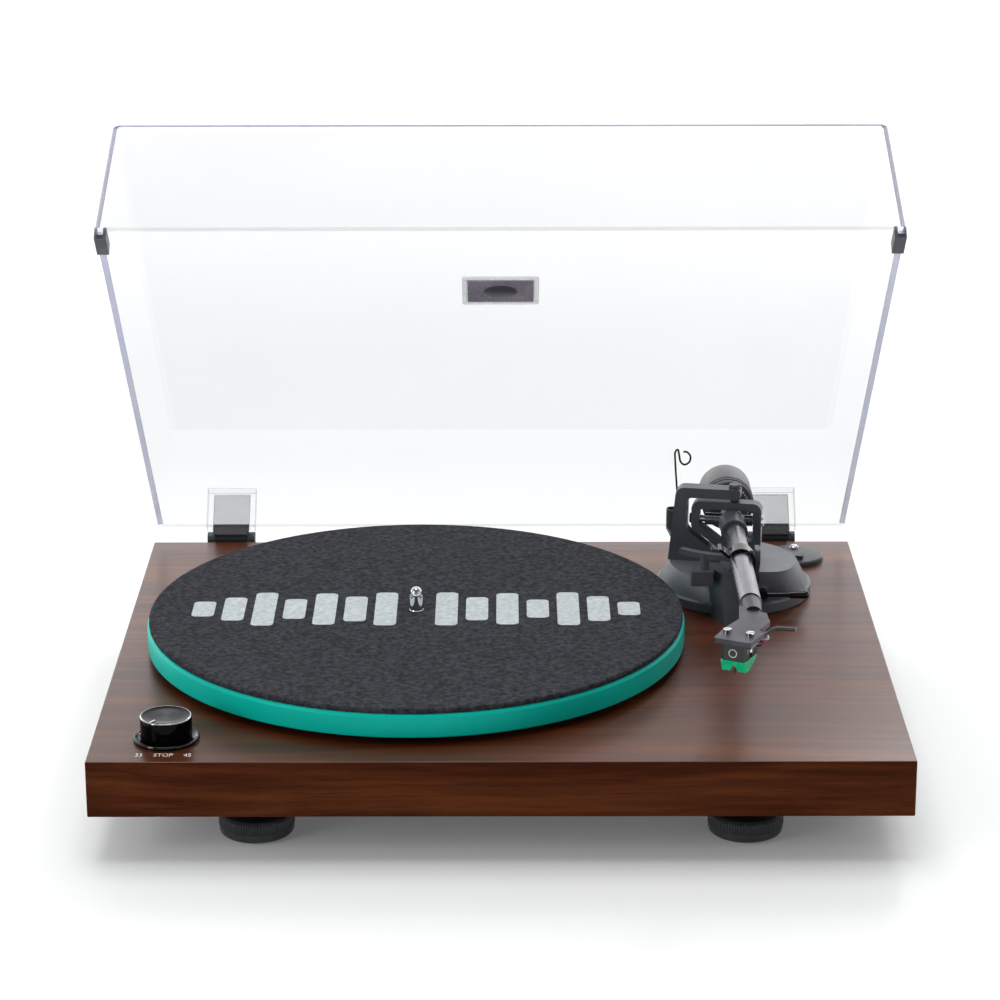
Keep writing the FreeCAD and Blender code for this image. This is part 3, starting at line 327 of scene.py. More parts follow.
def surface(name, light, dark, rough=(0.35, 0.45), grit=0.6, depth=0.01, patch=18.0, stretch=None, **sockets):
    """A finish with fine grit of the given size and depth in mm, and slow patches of tone and gloss.

    Colour runs between two hex codes by the patches, roughness between two values by patches and grit.
    stretch scales the coordinates, for a brushed or drawn direction. sockets set the shader's own values.
    """
    material, tree, shader, where = blank(name)
    if stretch:
        where = add(tree, "ShaderNodeMapping", {"Vector": where, "Scale": stretch}).outputs["Vector"]
    slow = add(tree, "ShaderNodeTexNoise", {"Vector": where, "Scale": per_mm(patch), "Detail": 3.0})
    fine = add(tree, "ShaderNodeTexNoise", {"Vector": where, "Scale": per_mm(grit), "Detail": 2.0})
    blend = add(tree, "ShaderNodeMapRange", {"Value": slow.outputs["Fac"], "From Min": 0.35,
                                             "From Max": 0.65})
    tone = add(tree, "ShaderNodeMixRGB", {"Fac": blend.outputs["Result"], "Color1": ink(light),
                                          "Color2": ink(dark)})
    both = add(tree, "ShaderNodeMath", {0: slow.outputs["Fac"], 1: fine.outputs["Fac"]}, operation="ADD")
    gloss = add(tree, "ShaderNodeMapRange", {"Value": both.outputs["Value"], "From Min": 0.7, "From Max": 1.3,
                                             "To Min": rough[0], "To Max": rough[1]})
    bump = add(tree, "ShaderNodeBump", {"Height": fine.outputs["Fac"], "Distance": depth / MM,
                                        "Strength": 1.0})
    tree.links.new(tone.outputs["Color"], shader.inputs["Base Color"])
    tree.links.new(gloss.outputs["Result"], shader.inputs["Roughness"])
    tree.links.new(bump.outputs["Normal"], shader.inputs["Normal"])
    for key, value in sockets.items():
        shader.inputs[key.replace("_", " ")].default_value = value
    return material


def walnut(name, specular, dark, mid, light):
    """Walnut veneer under a soft sheen: broad bands of heartwood about 30 mm wide, streaks of 5 mm, and dark pores
    a millimetre wide. All are drawn out along the grain, which runs along X, and along Y on the end faces."""
    material, tree, shader, where = blank(name)
    normal = add(tree, "ShaderNodeNewGeometry").outputs["Normal"]
    face = add(tree, "ShaderNodeSeparateXYZ", {"Vector": normal})
    end = add(tree, "ShaderNodeMath", {0: face.outputs["X"]}, operation="ABSOLUTE")
    end = add(tree, "ShaderNodeMath", {0: end.outputs["Value"], 1: 0.7}, operation="GREATER_THAN")
    spot = add(tree, "ShaderNodeSeparateXYZ", {"Vector": where})
    crossed = add(tree, "ShaderNodeCombineXYZ", {"X": spot.outputs["Y"], "Y": spot.outputs["X"],
                                                 "Z": spot.outputs["Z"]})
    along = add(tree, "ShaderNodeMix", {"Factor": end.outputs["Value"]}, data_type="VECTOR")
    tree.links.new(where, along.inputs[4])
    tree.links.new(crossed.outputs["Vector"], along.inputs[5])
    along = along.outputs[1]
    drift = add(tree, "ShaderNodeTexNoise", {"Vector": add(tree, "ShaderNodeMapping", {
        "Vector": along, "Scale": (3.0, 9.0, 9.0)}).outputs["Vector"], "Scale": 1.0, "Detail": 2.0})
    swayed = add(tree, "ShaderNodeVectorMath", {0: drift.outputs["Color"], 1: (0.0, 0.03, 0.03)},
                 operation="MULTIPLY")
    swayed = add(tree, "ShaderNodeVectorMath", {0: along, 1: swayed.outputs["Vector"]}, operation="ADD")
    pulled = {size: add(tree, "ShaderNodeMapping", {"Vector": swayed.outputs["Vector"], "Scale": scale})
              for size, scale in (("band", (2.0, 34.0, 34.0)), ("streak", (7.0, 190.0, 190.0)),
                                  ("pore", (26.0, 900.0, 900.0)))}
    noise = {size: add(tree, "ShaderNodeTexNoise", {"Vector": made.outputs["Vector"], "Scale": 1.0,
                                                    "Detail": 4.0, "Roughness": 0.6}).outputs["Fac"]
             for size, made in pulled.items()}
    band = add(tree, "ShaderNodeValToRGB", {"Fac": noise["band"]})
    ramp = band.color_ramp
    ramp.elements[0].position, ramp.elements[0].color = 0.28, ink(dark)
    ramp.elements[1].position, ramp.elements[1].color = 0.72, ink(light)
    middle = ramp.elements.new(0.5)
    middle.color = ink(mid)
    streak = add(tree, "ShaderNodeMapRange", {"Value": noise["streak"], "From Min": 0.36, "From Max": 0.62,
                                              "To Min": 0.62, "To Max": 1.08})
    pore = add(tree, "ShaderNodeMapRange", {"Value": noise["pore"], "From Min": 0.30, "From Max": 0.46,
                                            "To Min": 0.62, "To Max": 1.0})
    shade = add(tree, "ShaderNodeMath", {0: streak.outputs["Result"], 1: pore.outputs["Result"]},
                operation="MULTIPLY")
    colour = add(tree, "ShaderNodeVectorMath", {0: band.outputs["Color"]}, operation="SCALE")
    tree.links.new(shade.outputs["Value"], colour.inputs["Scale"])
    rough = add(tree, "ShaderNodeMapRange", {"Value": noise["streak"], "To Min": 0.36, "To Max": 0.27})
    bump = add(tree, "ShaderNodeBump", {"Height": pore.outputs["Result"], "Distance": 0.02 / MM,
                                        "Strength": 0.6})
    tree.links.new(colour.outputs["Vector"], shader.inputs["Base Color"])
    tree.links.new(rough.outputs["Result"], shader.inputs["Roughness"])
    tree.links.new(bump.outputs["Normal"], shader.inputs["Normal"])
    shader.inputs["IOR"].default_value = 1.5
    shader.inputs["Specular IOR Level"].default_value = specular
    return material


def felt(name, pale, dark, depth):
    """Needled wool-blend felt: flecks of paler fibre about a millimetre long, dead matt, with a faint sheen at
    grazing angles. Real fibres are 0.02 mm thick, so the flecks are drawn coarser to show."""
    material, tree, shader, where = blank(name)
    fleck = add(tree, "ShaderNodeTexNoise", {"Vector": where, "Scale": per_mm(0.8), "Detail": 4.0,
                                             "Roughness": 0.75})
    clump = add(tree, "ShaderNodeTexNoise", {"Vector": where, "Scale": per_mm(3.0), "Detail": 2.0})
    both = add(tree, "ShaderNodeMath", {0: fleck.outputs["Fac"], 1: clump.outputs["Fac"]}, operation="ADD")
    mix = add(tree, "ShaderNodeMapRange", {"Value": both.outputs["Value"], "From Min": 0.8, "From Max": 1.3})
    tone = add(tree, "ShaderNodeMixRGB", {"Fac": mix.outputs["Result"], "Color1": ink(dark),
                                          "Color2": ink(pale)})
    bump = add(tree, "ShaderNodeBump", {"Height": fleck.outputs["Fac"], "Distance": depth / MM,
                                        "Strength": 1.0})
    tree.links.new(tone.outputs["Color"], shader.inputs["Base Color"])
    tree.links.new(bump.outputs["Normal"], shader.inputs["Normal"])
    shader.inputs["Roughness"].default_value = 0.95
    shader.inputs["Specular IOR Level"].default_value = 0.05
    shader.inputs["Sheen Weight"].default_value = 0.03
    return material


def acrylic(name, body, clear, edge, rough=0.04):
    """Cast acrylic: nearly clear face on, and denser where a wall is seen along its length.

    clear and edge are its opacity face on and at a grazing angle.
    """
    material, tree, shader, where = blank(name)
    grazing = add(tree, "ShaderNodeLayerWeight", {"Blend": 0.35}).outputs["Facing"]
    haze = add(tree, "ShaderNodeTexNoise", {"Vector": where, "Scale": per_mm(90.0), "Detail": 1.0})
    dense = add(tree, "ShaderNodeMapRange", {"Value": grazing, "From Min": 0.3, "From Max": 1.0,
                                             "To Min": clear, "To Max": edge})
    vary = add(tree, "ShaderNodeMapRange", {"Value": haze.outputs["Fac"], "To Min": 0.9, "To Max": 1.1})
    alpha = add(tree, "ShaderNodeMath", {0: dense.outputs["Result"], 1: vary.outputs["Result"]},
                operation="MULTIPLY")
    tree.links.new(alpha.outputs["Value"], shader.inputs["Alpha"])
    shader.inputs["Base Color"].default_value = ink(body)
    shader.inputs["Roughness"].default_value = rough
    shader.inputs["IOR"].default_value = 1.49
    return material


def leaf():
    """The hinge leaf: frosted translucent plastic inside the pocket, black below the pocket's mouth."""
    material, tree, shader, where = blank("hinge_leaf")
    height = add(tree, "ShaderNodeSeparateXYZ", {"Vector": where}).outputs["Z"]
    mouth = (POCKET_MOUTH_Z - FLOOR_Z) / MM
    upper = add(tree, "ShaderNodeMath", {0: height, 1: mouth}, operation="GREATER_THAN").outputs["Value"]
    tone = add(tree, "ShaderNodeMixRGB", {"Fac": upper, "Color1": ink("#2a2a2e"), "Color2": ink("#b9babd")})
    alpha = add(tree, "ShaderNodeMapRange", {"Value": upper, "To Min": 1.0, "To Max": 0.2})
    tree.links.new(tone.outputs["Color"], shader.inputs["Base Color"])
    tree.links.new(alpha.outputs["Result"], shader.inputs["Alpha"])
    shader.inputs["Roughness"].default_value = 0.4
    return material


def spun_cap():
    """Dark metal faced on a lathe: rings too fine to see, which pull its highlight into two fans."""
    material, tree, shader, where = blank("spun_cap")
    tangent = add(tree, "ShaderNodeTangent", direction_type="UV_MAP", uv_map="turning")
    spin = add(tree, "ShaderNodeUVMap", uv_map="turning")
    rings = add(tree, "ShaderNodeMapping", {"Vector": spin.outputs["UV"], "Scale": (2.0, 90.0, 1.0)})
    ring = add(tree, "ShaderNodeTexNoise", {"Vector": rings.outputs["Vector"], "Scale": 1.0, "Detail": 2.0})
    tone = add(tree, "ShaderNodeMixRGB", {"Fac": ring.outputs["Fac"], "Color1": ink("#17171b"),
                                          "Color2": ink("#2b2b30")})
    tree.links.new(tone.outputs["Color"], shader.inputs["Base Color"])
    tree.links.new(tangent.outputs["Tangent"], shader.inputs["Tangent"])
    shader.inputs["Metallic"].default_value = 1.0
    shader.inputs["Roughness"].default_value = 0.28
    shader.inputs["Anisotropic"].default_value = 0.85
    return material


# the deck is lacquered, so it carries a veil of the white backdrop; the edges are oiled and deep brown, and their
# darker walnut colours are painted shade, for faces that turn away from the lights
DECK_WALNUT = walnut("lacquered_walnut", 0.45, "#3e1a09", "#592810", "#74401c")
SHADED_EDGE_WALNUT = walnut("oiled_walnut_painted_shade", 0.02, "#31140a", "#472110", "#5f331b")
FELT = felt("heathered_felt", "#44464c", "#202125", 0.2)
MAT_INK = felt("ink_on_felt", "#cdd5d7", "#aeb6b8", 0.12)
# satin enamel on a cast platter: even colour, a trace of orange peel
TEAL = surface("teal_enamel", "#00bcab", "#00b0a0", (0.36, 0.42), grit=1.6, depth=0.004, patch=60.0,
               Specular_IOR_Level=0.12)
# spark-eroded mould texture on ABS: even satin black with a bloom on upward faces
MOULDED = surface("moulded_abs", "#464a50", "#3a3d43", (0.34, 0.44), grit=0.35, depth=0.006, patch=22.0)
# the same plastic in paler colours, on the tonearm base
BASE = surface("paler_moulded_abs", "#666a71", "#5b5f65", (0.36, 0.46), grit=0.35, depth=0.006, patch=22.0)
# ABS from a polished mould: black, with crisp highlights
GLOSS = surface("polished_abs", "#08080a", "#050506", (0.06, 0.12), grit=3.0, depth=0.0008, patch=25.0)
# the knob's side is lacquered over a black base, and is deeper still
JET = surface("black_lacquer", "#030405", "#020202", (0.10, 0.16), grit=3.0, depth=0.0006, patch=25.0,
              Specular_IOR_Level=0.07)
# turned and painted: dark satin, a little uneven
FOOT = surface("turned_black", "#36393d", "#2a2d30", (0.30, 0.40), grit=0.5, depth=0.006, patch=12.0)
# bead-blasted, dark anodised aluminium: soft lilac-grey metal with a fine sparkle
ANODISED = surface("dark_anodised", "#4a474d", "#403d43", (0.34, 0.46), grit=0.3, depth=0.006, patch=14.0,
                   Metallic=0.85)
# sprayed enamel on steel and zinc: warm charcoal, with a soft highlight
ENAMEL = surface("black_enamel", "#3f3d42", "#333136", (0.30, 0.40), grit=0.5, depth=0.004, patch=15.0)
# drawn and satin-anodised aluminium: bright grey, with a long soft highlight
TUBE = surface("satin_tube", "#83838b", "#75767e", (0.24, 0.30), grit=0.5, depth=0.0002, patch=20.0,
               Metallic=1.0)
# chrome on turned brass or steel: a near mirror
CHROME = surface("chrome_plate", "#e2e3e6", "#d6d7da", (0.05, 0.10), grit=1.0, depth=0.0004, patch=8.0,
                 Metallic=1.0)
# dull zinc plate with a faint spangle
ZINC = surface("zinc_plate", "#a9abae", "#8f9194", (0.28, 0.42), grit=0.7, depth=0.003, patch=6.0,
               Metallic=1.0)
# turned brass, slightly tarnished
BRASS = surface("turned_brass", "#c9a45c", "#b08c48", (0.2, 0.32), grit=0.5, depth=0.002, patch=9.0,
                Metallic=1.0)
# fibreboard painted black: matt, and rough to the hand
BOARD = surface("painted_fibreboard", "#1b1a19", "#121111", (0.6, 0.75), grit=0.8, depth=0.02, patch=30.0)
# ground rubber: matt black
RUBBER = surface("belt_rubber", "#161616", "#0f0f0f", (0.55, 0.7), grit=0.6, depth=0.01, patch=10.0)
# solder mask over glass fibre: glossy green with a slight weave
CIRCUIT = surface("solder_mask", "#0f5a30", "#0b4a27", (0.25, 0.4), grit=1.2, depth=0.01, patch=7.0)
# polished translucent plastic, so a clean bright green
STYLUS = surface("green_stylus_plastic", "#06cf92", "#03b87c", (0.14, 0.22), grit=1.5, depth=0.001, patch=5.0)
# soft PVC insulation in the four usual colours
LEADS = {"red": surface("red_lead", "#c4242c", "#a81b22", (0.35, 0.45), grit=0.6, depth=0.002, patch=3.0),
         "white": surface("white_lead", "#e8e8e6", "#d3d3d0", (0.35, 0.45), grit=0.6, depth=0.002, patch=3.0),
         "blue": surface("blue_lead", "#2b4fa8", "#203f8c", (0.35, 0.45), grit=0.6, depth=0.002, patch=3.0),
         "green": surface("green_lead", "#1f8a4a", "#17713b", (0.35, 0.45), grit=0.6, depth=0.002, patch=3.0)}
# pad-printed ink: flat white
PAINT = surface("white_legend_ink", "#f0f0ee", "#e2e2df", (0.4, 0.5), grit=0.8, depth=0.001, patch=4.0)
# The lid is cast acrylic. Its walls are clear, its top a shade denser, and light gathers in its folds and cut
# edges, which look lilac at the sides and grey along the front and the back.
CLEAR = acrylic("clear_acrylic", "#5c606c", 0.045, 0.10)
PANEL = acrylic("clear_acrylic_top", "#50535e", 0.075, 0.14)
FOLD = acrylic("acrylic_fold", "#6c6e90", 0.7, 0.9, 0.1)
RIM = acrylic("acrylic_cut_edge", "#8486b2", 0.65, 0.9, 0.12)
LIP = acrylic("acrylic_front_edge", "#9a9ca8", 0.25, 0.4, 0.12)
SEAM = acrylic("acrylic_rear_edge", "#8e90a0", 0.2, 0.35, 0.12)
# the hinge pockets are thinner acrylic, with thin dark edges
POCKET = acrylic("pocket_acrylic", "#b4b7c2", 0.05, 0.3, 0.08)
POCKET_EDGE = acrylic("pocket_acrylic_edge", "#3c3d42", 0.35, 0.8, 0.08)
# a metallised badge plate under its bezel: warm grey
SMOKE = surface("smoked_plate", "#8f8a98", "#77717f", (0.2, 0.3), grit=1.2, depth=0.001, patch=9.0)
SPUN = spun_cap()
LEAF = leaf()

# ---- CAD nodes that keep their own mesh: what is hidden inside or underneath ----
HIDDEN = {"base_plate": BOARD, "base_screws": ZINC, "motor": ZINC, "motor_mount": MOULDED,
          "bearing_housing": BRASS, "drive_belt": RUBBER, "speed_switch": MOULDED, "control_board": CIRCUIT,
          "rear_panel": MOULDED, "tonearm_nut": ZINC, "drive_ring": MOULDED, "motor_pulley": BRASS,
          "hinge_pins": ZINC}
for hidden_node, hidden_finish in HIDDEN.items():
    for socket in frame["nodes"][hidden_node].material_slots:
        socket.material = hidden_finish

# ---- CAD nodes whose shape is right, merged and smoothly shaded ----
# each has its material, the angle past which an edge is crisp, its bevel in mm, and the bevel's material
MERGED = {
    "audio_sockets": (CHROME, 30.0, 0.0), "ground_terminal": (BRASS, 30.0, 0.0),
    "power_inlet": (GLOSS, 30.0, 0.0), "hinge_brackets": (MOULDED, 30.0, 0.0),
    "hinge_leaves": (LEAF, 30.0, 0.0), "hinge_pockets": (POCKET, 30.0, 0.35, POCKET_EDGE),
    "lid_bumpers": (MOULDED, 30.0, 0.0), "foot_collars": (GLOSS, 30.0, 0.0),
    "tonearm_base": (BASE, 30.0, 0.0), "rest_bracket": (MOULDED, 30.0, 0.3),
    "rest_clip": (GLOSS, 30.0, 0.0), "cue_housing": (MOULDED, 30.0, 0.4),
    "support_frame": (MOULDED, 30.0, 0.5), "bearing_screws": (ENAMEL, 30.0, 0.0),
    "lift_bar": (MOULDED, 30.0, 0.4), "cue_lever": (GLOSS, 40.0, 0.0), "rear_disc": (MOULDED, 30.0, 0.0),
    "weight_post": (MOULDED, 30.0, 0.2), "antiskate_weight": (ENAMEL, 30.0, 0.0),
    "gimbal_ring": (MOULDED, 30.0, 0.5), "gimbal_screws": (CHROME, 30.0, 0.0),
    "pivot_barrels": (TUBE, 30.0, 0.0), "arm_housing": (MOULDED, 30.0, 0.0), "arm_tube": (TUBE, 40.0, 0.0),
    "headshell": (ANODISED, 30.0, 0.25), "finger_lift": (ENAMEL, 40.0, 0.0),
    "cartridge_body": (GLOSS, 30.0, 0.3), "cartridge_screws": (CHROME, 30.0, 0.0),
    "stylus_unit": (STYLUS, 30.0, 0.25), "cantilever": (TUBE, 40.0, 0.0), "rear_stub": (ZINC, 30.0, 0.0),
    "force_dial": (MOULDED, 30.0, 0.0),
}
for merged_node, merged_settings in MERGED.items():
    finished(merged_node, *merged_settings)

# the plinth's top face is the deck, and every face that turns away from it is an edge, drawn in the darker walnut
# of painted shade
DECK_FACES_UP = 0.7
plinth = finished("plinth", DECK_WALNUT, 25.0, 0.35)
plinth.data.materials.append(SHADED_EDGE_WALNUT)
facing = np.empty(len(plinth.data.polygons) * 3, np.float32)
plinth.data.polygons.foreach_get("normal", facing)
is_shaded_edge = facing.reshape(-1, 3)[:, 2] < DECK_FACES_UP
plinth.data.polygons.foreach_set("material_index", is_shaded_edge.astype(np.int32))

# ---- platter, mat and spindle ----
RIM_PROFILE = [(4.12, 9.0), (40, 9.0), (42, 12.0), (138, 12.0), (141, 4.4), (141.4, 4.0), (149.5, 4.0),
               (150, 4.5), (150, 15.2), (149.0, 16.5), (148.4, 16.8), (4.12, 16.8), (4.12, 9.0)]
points, faces, _ = turned(eased(RIM_PROFILE, 0.35), PLATTER, 288)
piece("platter_finished", points, faces, [TEAL], "platter_body", ["platter"])


def ragged(angle, profile):
    """Cut felt is never quite round: its edge wanders by up to 0.16 mm, as the mean of four sines whose waves
    are 2 to 13 mm long."""
    wander = sum(np.sin(angle * n + k) for n, k in ((73, 0.4), (131, 2.1), (211, 4.0), (389, 1.2))) / 4
    return 0.16 * wander * (profile[:, :1] > 140)


MAT_PROFILE = [(4.3, 16.8), (148.6, 16.8), (149.0, 17.4), (149.0, 19.1), (148.3, 19.75), (146, 19.8),
               (100, 19.8), (50, 19.8), (4.3, 19.8), (4.3, 16.8)]
points, faces, _ = turned(eased(MAT_PROFILE, 0.4), PLATTER, 720, ragged)
mat = piece("felt_mat", points, faces, [FELT], "platter_body", ["platter_mat"])


def rounded_slab(x0, x1, y0, y1, z0, z1, radius, steps=6):
    """A flat slab whose four upright corners are quarter circles."""
    turn = np.linspace(0, math.pi / 2, steps)
    loops = []
    for cx, cy, start in ((x1, y1, 0), (x0, y1, 1), (x0, y0, 2), (x1, y0, 3)):
        way = turn + start * math.pi / 2
        inset_x = cx - math.copysign(radius, cx - (x0 + x1) / 2)
        inset_y = cy - math.copysign(radius, cy - (y0 + y1) / 2)
        loops.append(np.stack([inset_x + radius * np.cos(way), inset_y + radius * np.sin(way)], -1))
    loop = np.vstack(loops)
    n = len(loop)
    points = np.vstack([np.c_[loop, np.full(n, z0)], np.c_[loop, np.full(n, z1)]])
    faces = [tuple(range(n))[::-1], tuple(range(n, 2 * n))]
    faces += [(k, (k + 1) % n, n + (k + 1) % n, n + k) for k in range(n)]
    return points, faces


# a plain row of upright bars of different heights, printed across the mat
BAR_STEP, BAR_HALF_WIDTH, BAR_Y, MAT_TOP = 17.0, 6.2, 172.5, 19.8
BAR_X = PLATTER[0] + BAR_STEP * np.arange(-7, 8)
BAR_HALF = 26.5 * np.array([0.45, 0.7, 1.0, 0.6, 0.95, 0.75, 1.0, 0.0, 1.0, 0.7, 0.95, 0.55, 1.0, 0.75, 0.4])
bars = [rounded_slab(x - BAR_HALF_WIDTH, x + BAR_HALF_WIDTH, BAR_Y - half, BAR_Y + half, MAT_TOP,
                     MAT_TOP + 0.1, 3.0) for x, half in zip(BAR_X, BAR_HALF) if half > 0]
points, faces = joined(bars)
piece("mat_print", points, faces, [MAT_INK], "platter_body", sharp=60.0)

SPINDLE_PROFILE = [(0, 9), (4.0, 9), (4.0, 19.9), (3.6, 19.9), (3.6, 28.6), (3.2, 31.0), (1.9, 32.7),
                   (0, 33.0)]
points, faces, _ = turned(eased(SPINDLE_PROFILE, 0.5, 5), PLATTER, 64)
SHAFT_PROFILE = [(0, -22.6), (2.4, -22.6), (3.4, -21.6), (3.4, 4.2), (11, 4.2), (11, 9.0), (0, 9.0)]
shaft_points, shaft_faces, _ = turned(SHAFT_PROFILE, PLATTER, 64)
points, faces = joined([(points, faces), (shaft_points, shaft_faces)])
piece("spindle_finished", points, faces, [CHROME], "platter_body", ["spindle"])

# ---- speed knob, its dish and its legend ----
SIDE_PROFILE = [(0, -16), (2.6, -16), (3.0, -15.4), (3.0, 1.2), (13.1, 1.2), (13.5, 1.6), (13.5, 12.4),
                (13.3, 12.9), (12.9, 12.9)]
points, faces, _ = turned(eased(SIDE_PROFILE, 0.25), KNOB, 128)
piece("knob_side", points, faces, [JET], "knob", ["speed_knob"], outward=False)
CHAMFER_PROFILE = [(12.9, 12.85), (13.42, 12.87), (13.4, 12.95), (13.0, 13.38), (12.75, 13.3)]
points, faces, _ = turned(eased(CHAMFER_PROFILE, 0.08), KNOB, 128)
piece("knob_chamfer", points, faces, [CHROME], "knob", outward=False)
CAP_PROFILE = [(12.75, 13.3), (12.6, 13.2), (8, 13.15), (4, 13.12), (0.02, 13.1)]
points, faces, uv = turned(CAP_PROFILE, KNOB, 128)
piece("knob_cap", points, faces, [SPUN], "knob", outward=False, uv=uv, sharp=60)
pointer_points, pointer_faces = box_points((-0.4, -12.7, 13.1), (0.4, -8.6, 13.45))
POINTER_TURN = math.radians(-35.0)
pointer_c, pointer_s = math.cos(POINTER_TURN), math.sin(POINTER_TURN)
pointer_points = np.stack([
    KNOB[0] + pointer_points[:, 0] * pointer_c - pointer_points[:, 1] * pointer_s,
    KNOB[1] + pointer_points[:, 0] * pointer_s + pointer_points[:, 1] * pointer_c,
    pointer_points[:, 2]], -1)
piece("knob_pointer", pointer_points, pointer_faces, [PAINT], "knob", sharp=20)
DISH_PROFILE = [(4.2, 0), (17.0, 0), (17.3, 0.5), (17.3, 1.5), (16.9, 2.1), (16.2, 2.05), (15.0, 1.1),
                (14.2, 0.8), (4.2, 0.8), (4.2, 0)]
points, faces, _ = turned(eased(DISH_PROFILE, 0.3), KNOB, 128)
piece("dish_finished", points, faces, [GLOSS], "root", ["knob_dish"])


LEGEND_Y, LEGEND_SIZE, CONDENSED, INK_DEPTH, INK_LIFT = 7.6, 5.8, 0.72, 0.02, 0.03


def legend(words, centre_x, y, height, name):
    """Flat ink figures with condensed letters, laid on the deck and read from the front."""
    curve = bpy.data.curves.new(name, "FONT")
    curve.body = words
    curve.size = height / MM
    curve.align_x = "CENTER"
    curve.extrude = INK_DEPTH / MM
    carrier = bpy.data.objects.new(name + "_curve", curve)
    bpy.context.scene.collection.objects.link(carrier)
    depsgraph = bpy.context.evaluated_depsgraph_get()
    mesh = bpy.data.meshes.new_from_object(carrier.evaluated_get(depsgraph))
    bpy.data.objects.remove(carrier)
    mesh.name = name
    spot = place([[centre_x, y, INK_LIFT]])[0]
    mesh.transform(Matrix.Translation(Vector(spot)) @ Matrix.Diagonal((CONDENSED, 1.0, 1.0, 1.0)))
    mesh.materials.clear()
    mesh.materials.append(PAINT)
    made = bpy.data.objects.new(name, mesh)
    bpy.context.scene.collection.objects.link(made)
    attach(made, "root")
    return made


for number, (words, x) in enumerate((("33", -186.2), ("STOP", -173.6), ("45", -161.0))):
    legend(words, x, LEGEND_Y, LEGEND_SIZE, "speed_legend_%d" % number)

# ---- levelling feet ----
FOOT_TOP = -PLINTH_H - 13.9
FOOT_PROFILE = [(0, FLOOR_Z), (12.8, FLOOR_Z), (13.0, FLOOR_Z + 0.2), (13.0, FLOOR_Z + 0.7),
                (17.4, FLOOR_Z + 0.8), (19.1, FLOOR_Z + 1.6), (19.7, FLOOR_Z + 3.0), (19.7, FLOOR_Z + 5.6),
                (19.7, FLOOR_Z + 6.0),
                (19.7, FOOT_TOP - 1.8), (19.0, FOOT_TOP - 0.9), (18.2, FOOT_TOP), (5.0, FOOT_TOP),
                (5.0, FOOT_TOP + 10.5), (4.2, FOOT_TOP + 11.3), (0, FOOT_TOP + 11.3)]


def knurl(angle, profile):
    """Straight knurling: 84 rounded teeth, 0.3 mm either side of the ring, on its upper band only."""
    band = (profile[:, 1:2] > FLOOR_Z + 5.9) & (profile[:, 1:2] < FOOT_TOP - 0.8) & (profile[:, :1] > 18.5)
    return band * 0.3 * np.clip(np.cos(angle * 84) * 1.6, -1, 1)


FOOT_X, FOOT_INSET = 129.0, 42.0
for side_name, side_x in (("left", -FOOT_X), ("right", FOOT_X)):
    for end_name, end_y in (("front", FOOT_INSET), ("rear", PLINTH_D - FOOT_INSET)):
        points, faces, _ = turned(eased(FOOT_PROFILE, 0.4), (side_x, end_y), 840, knurl)
        foot_node = "foot_%s_%s" % (end_name, side_name)
        piece(foot_node + "_finished", points, faces, [FOOT], "foot_%s%s" % (end_name[0], side_name[0]),
              [foot_node], sharp=50.0)

# ---- lid ----
LID_L, LID_H, LID_W, LID_WALL = 343.7, 67.8, 421.3, 3.5
LID_SIDE_DRAFT, LID_END_DRAFT = 5.4, 4.45
LID_BACK, LID_BOTTOM = PLINTH_D - 0.1, 2.5
LID_CORNER, LID_CORNER_STEPS, LID_FOLD_R = 3.0, 7, 2.5


def lid_loop(height, inset, corner, steps=LID_CORNER_STEPS):
    """The lid's outline at a height above its rim: a rectangle drawn in by that height's share of the draft and
    by inset, with quarter circles at its corners."""
    share = height / LID_H
    x = LID_W / 2 - LID_SIDE_DRAFT * share - inset
    y1 = LID_BACK - LID_END_DRAFT * share - inset
    y0 = LID_BACK - LID_L + LID_END_DRAFT * share + inset
    turn = np.linspace(0, math.pi / 2, steps)
    centres = ((1, y1 - corner), (-1, y1 - corner), (-1, y0 + corner), (1, y0 + corner))
    loops = [np.stack([sx * (x - corner) + corner * np.cos(turn + k * math.pi / 2),
                       cy + corner * np.sin(turn + k * math.pi / 2)], -1)
             for k, (sx, cy) in enumerate(centres)]
    loop = np.vstack(loops)
    return np.c_[loop, np.full(len(loop), LID_BOTTOM + height)]


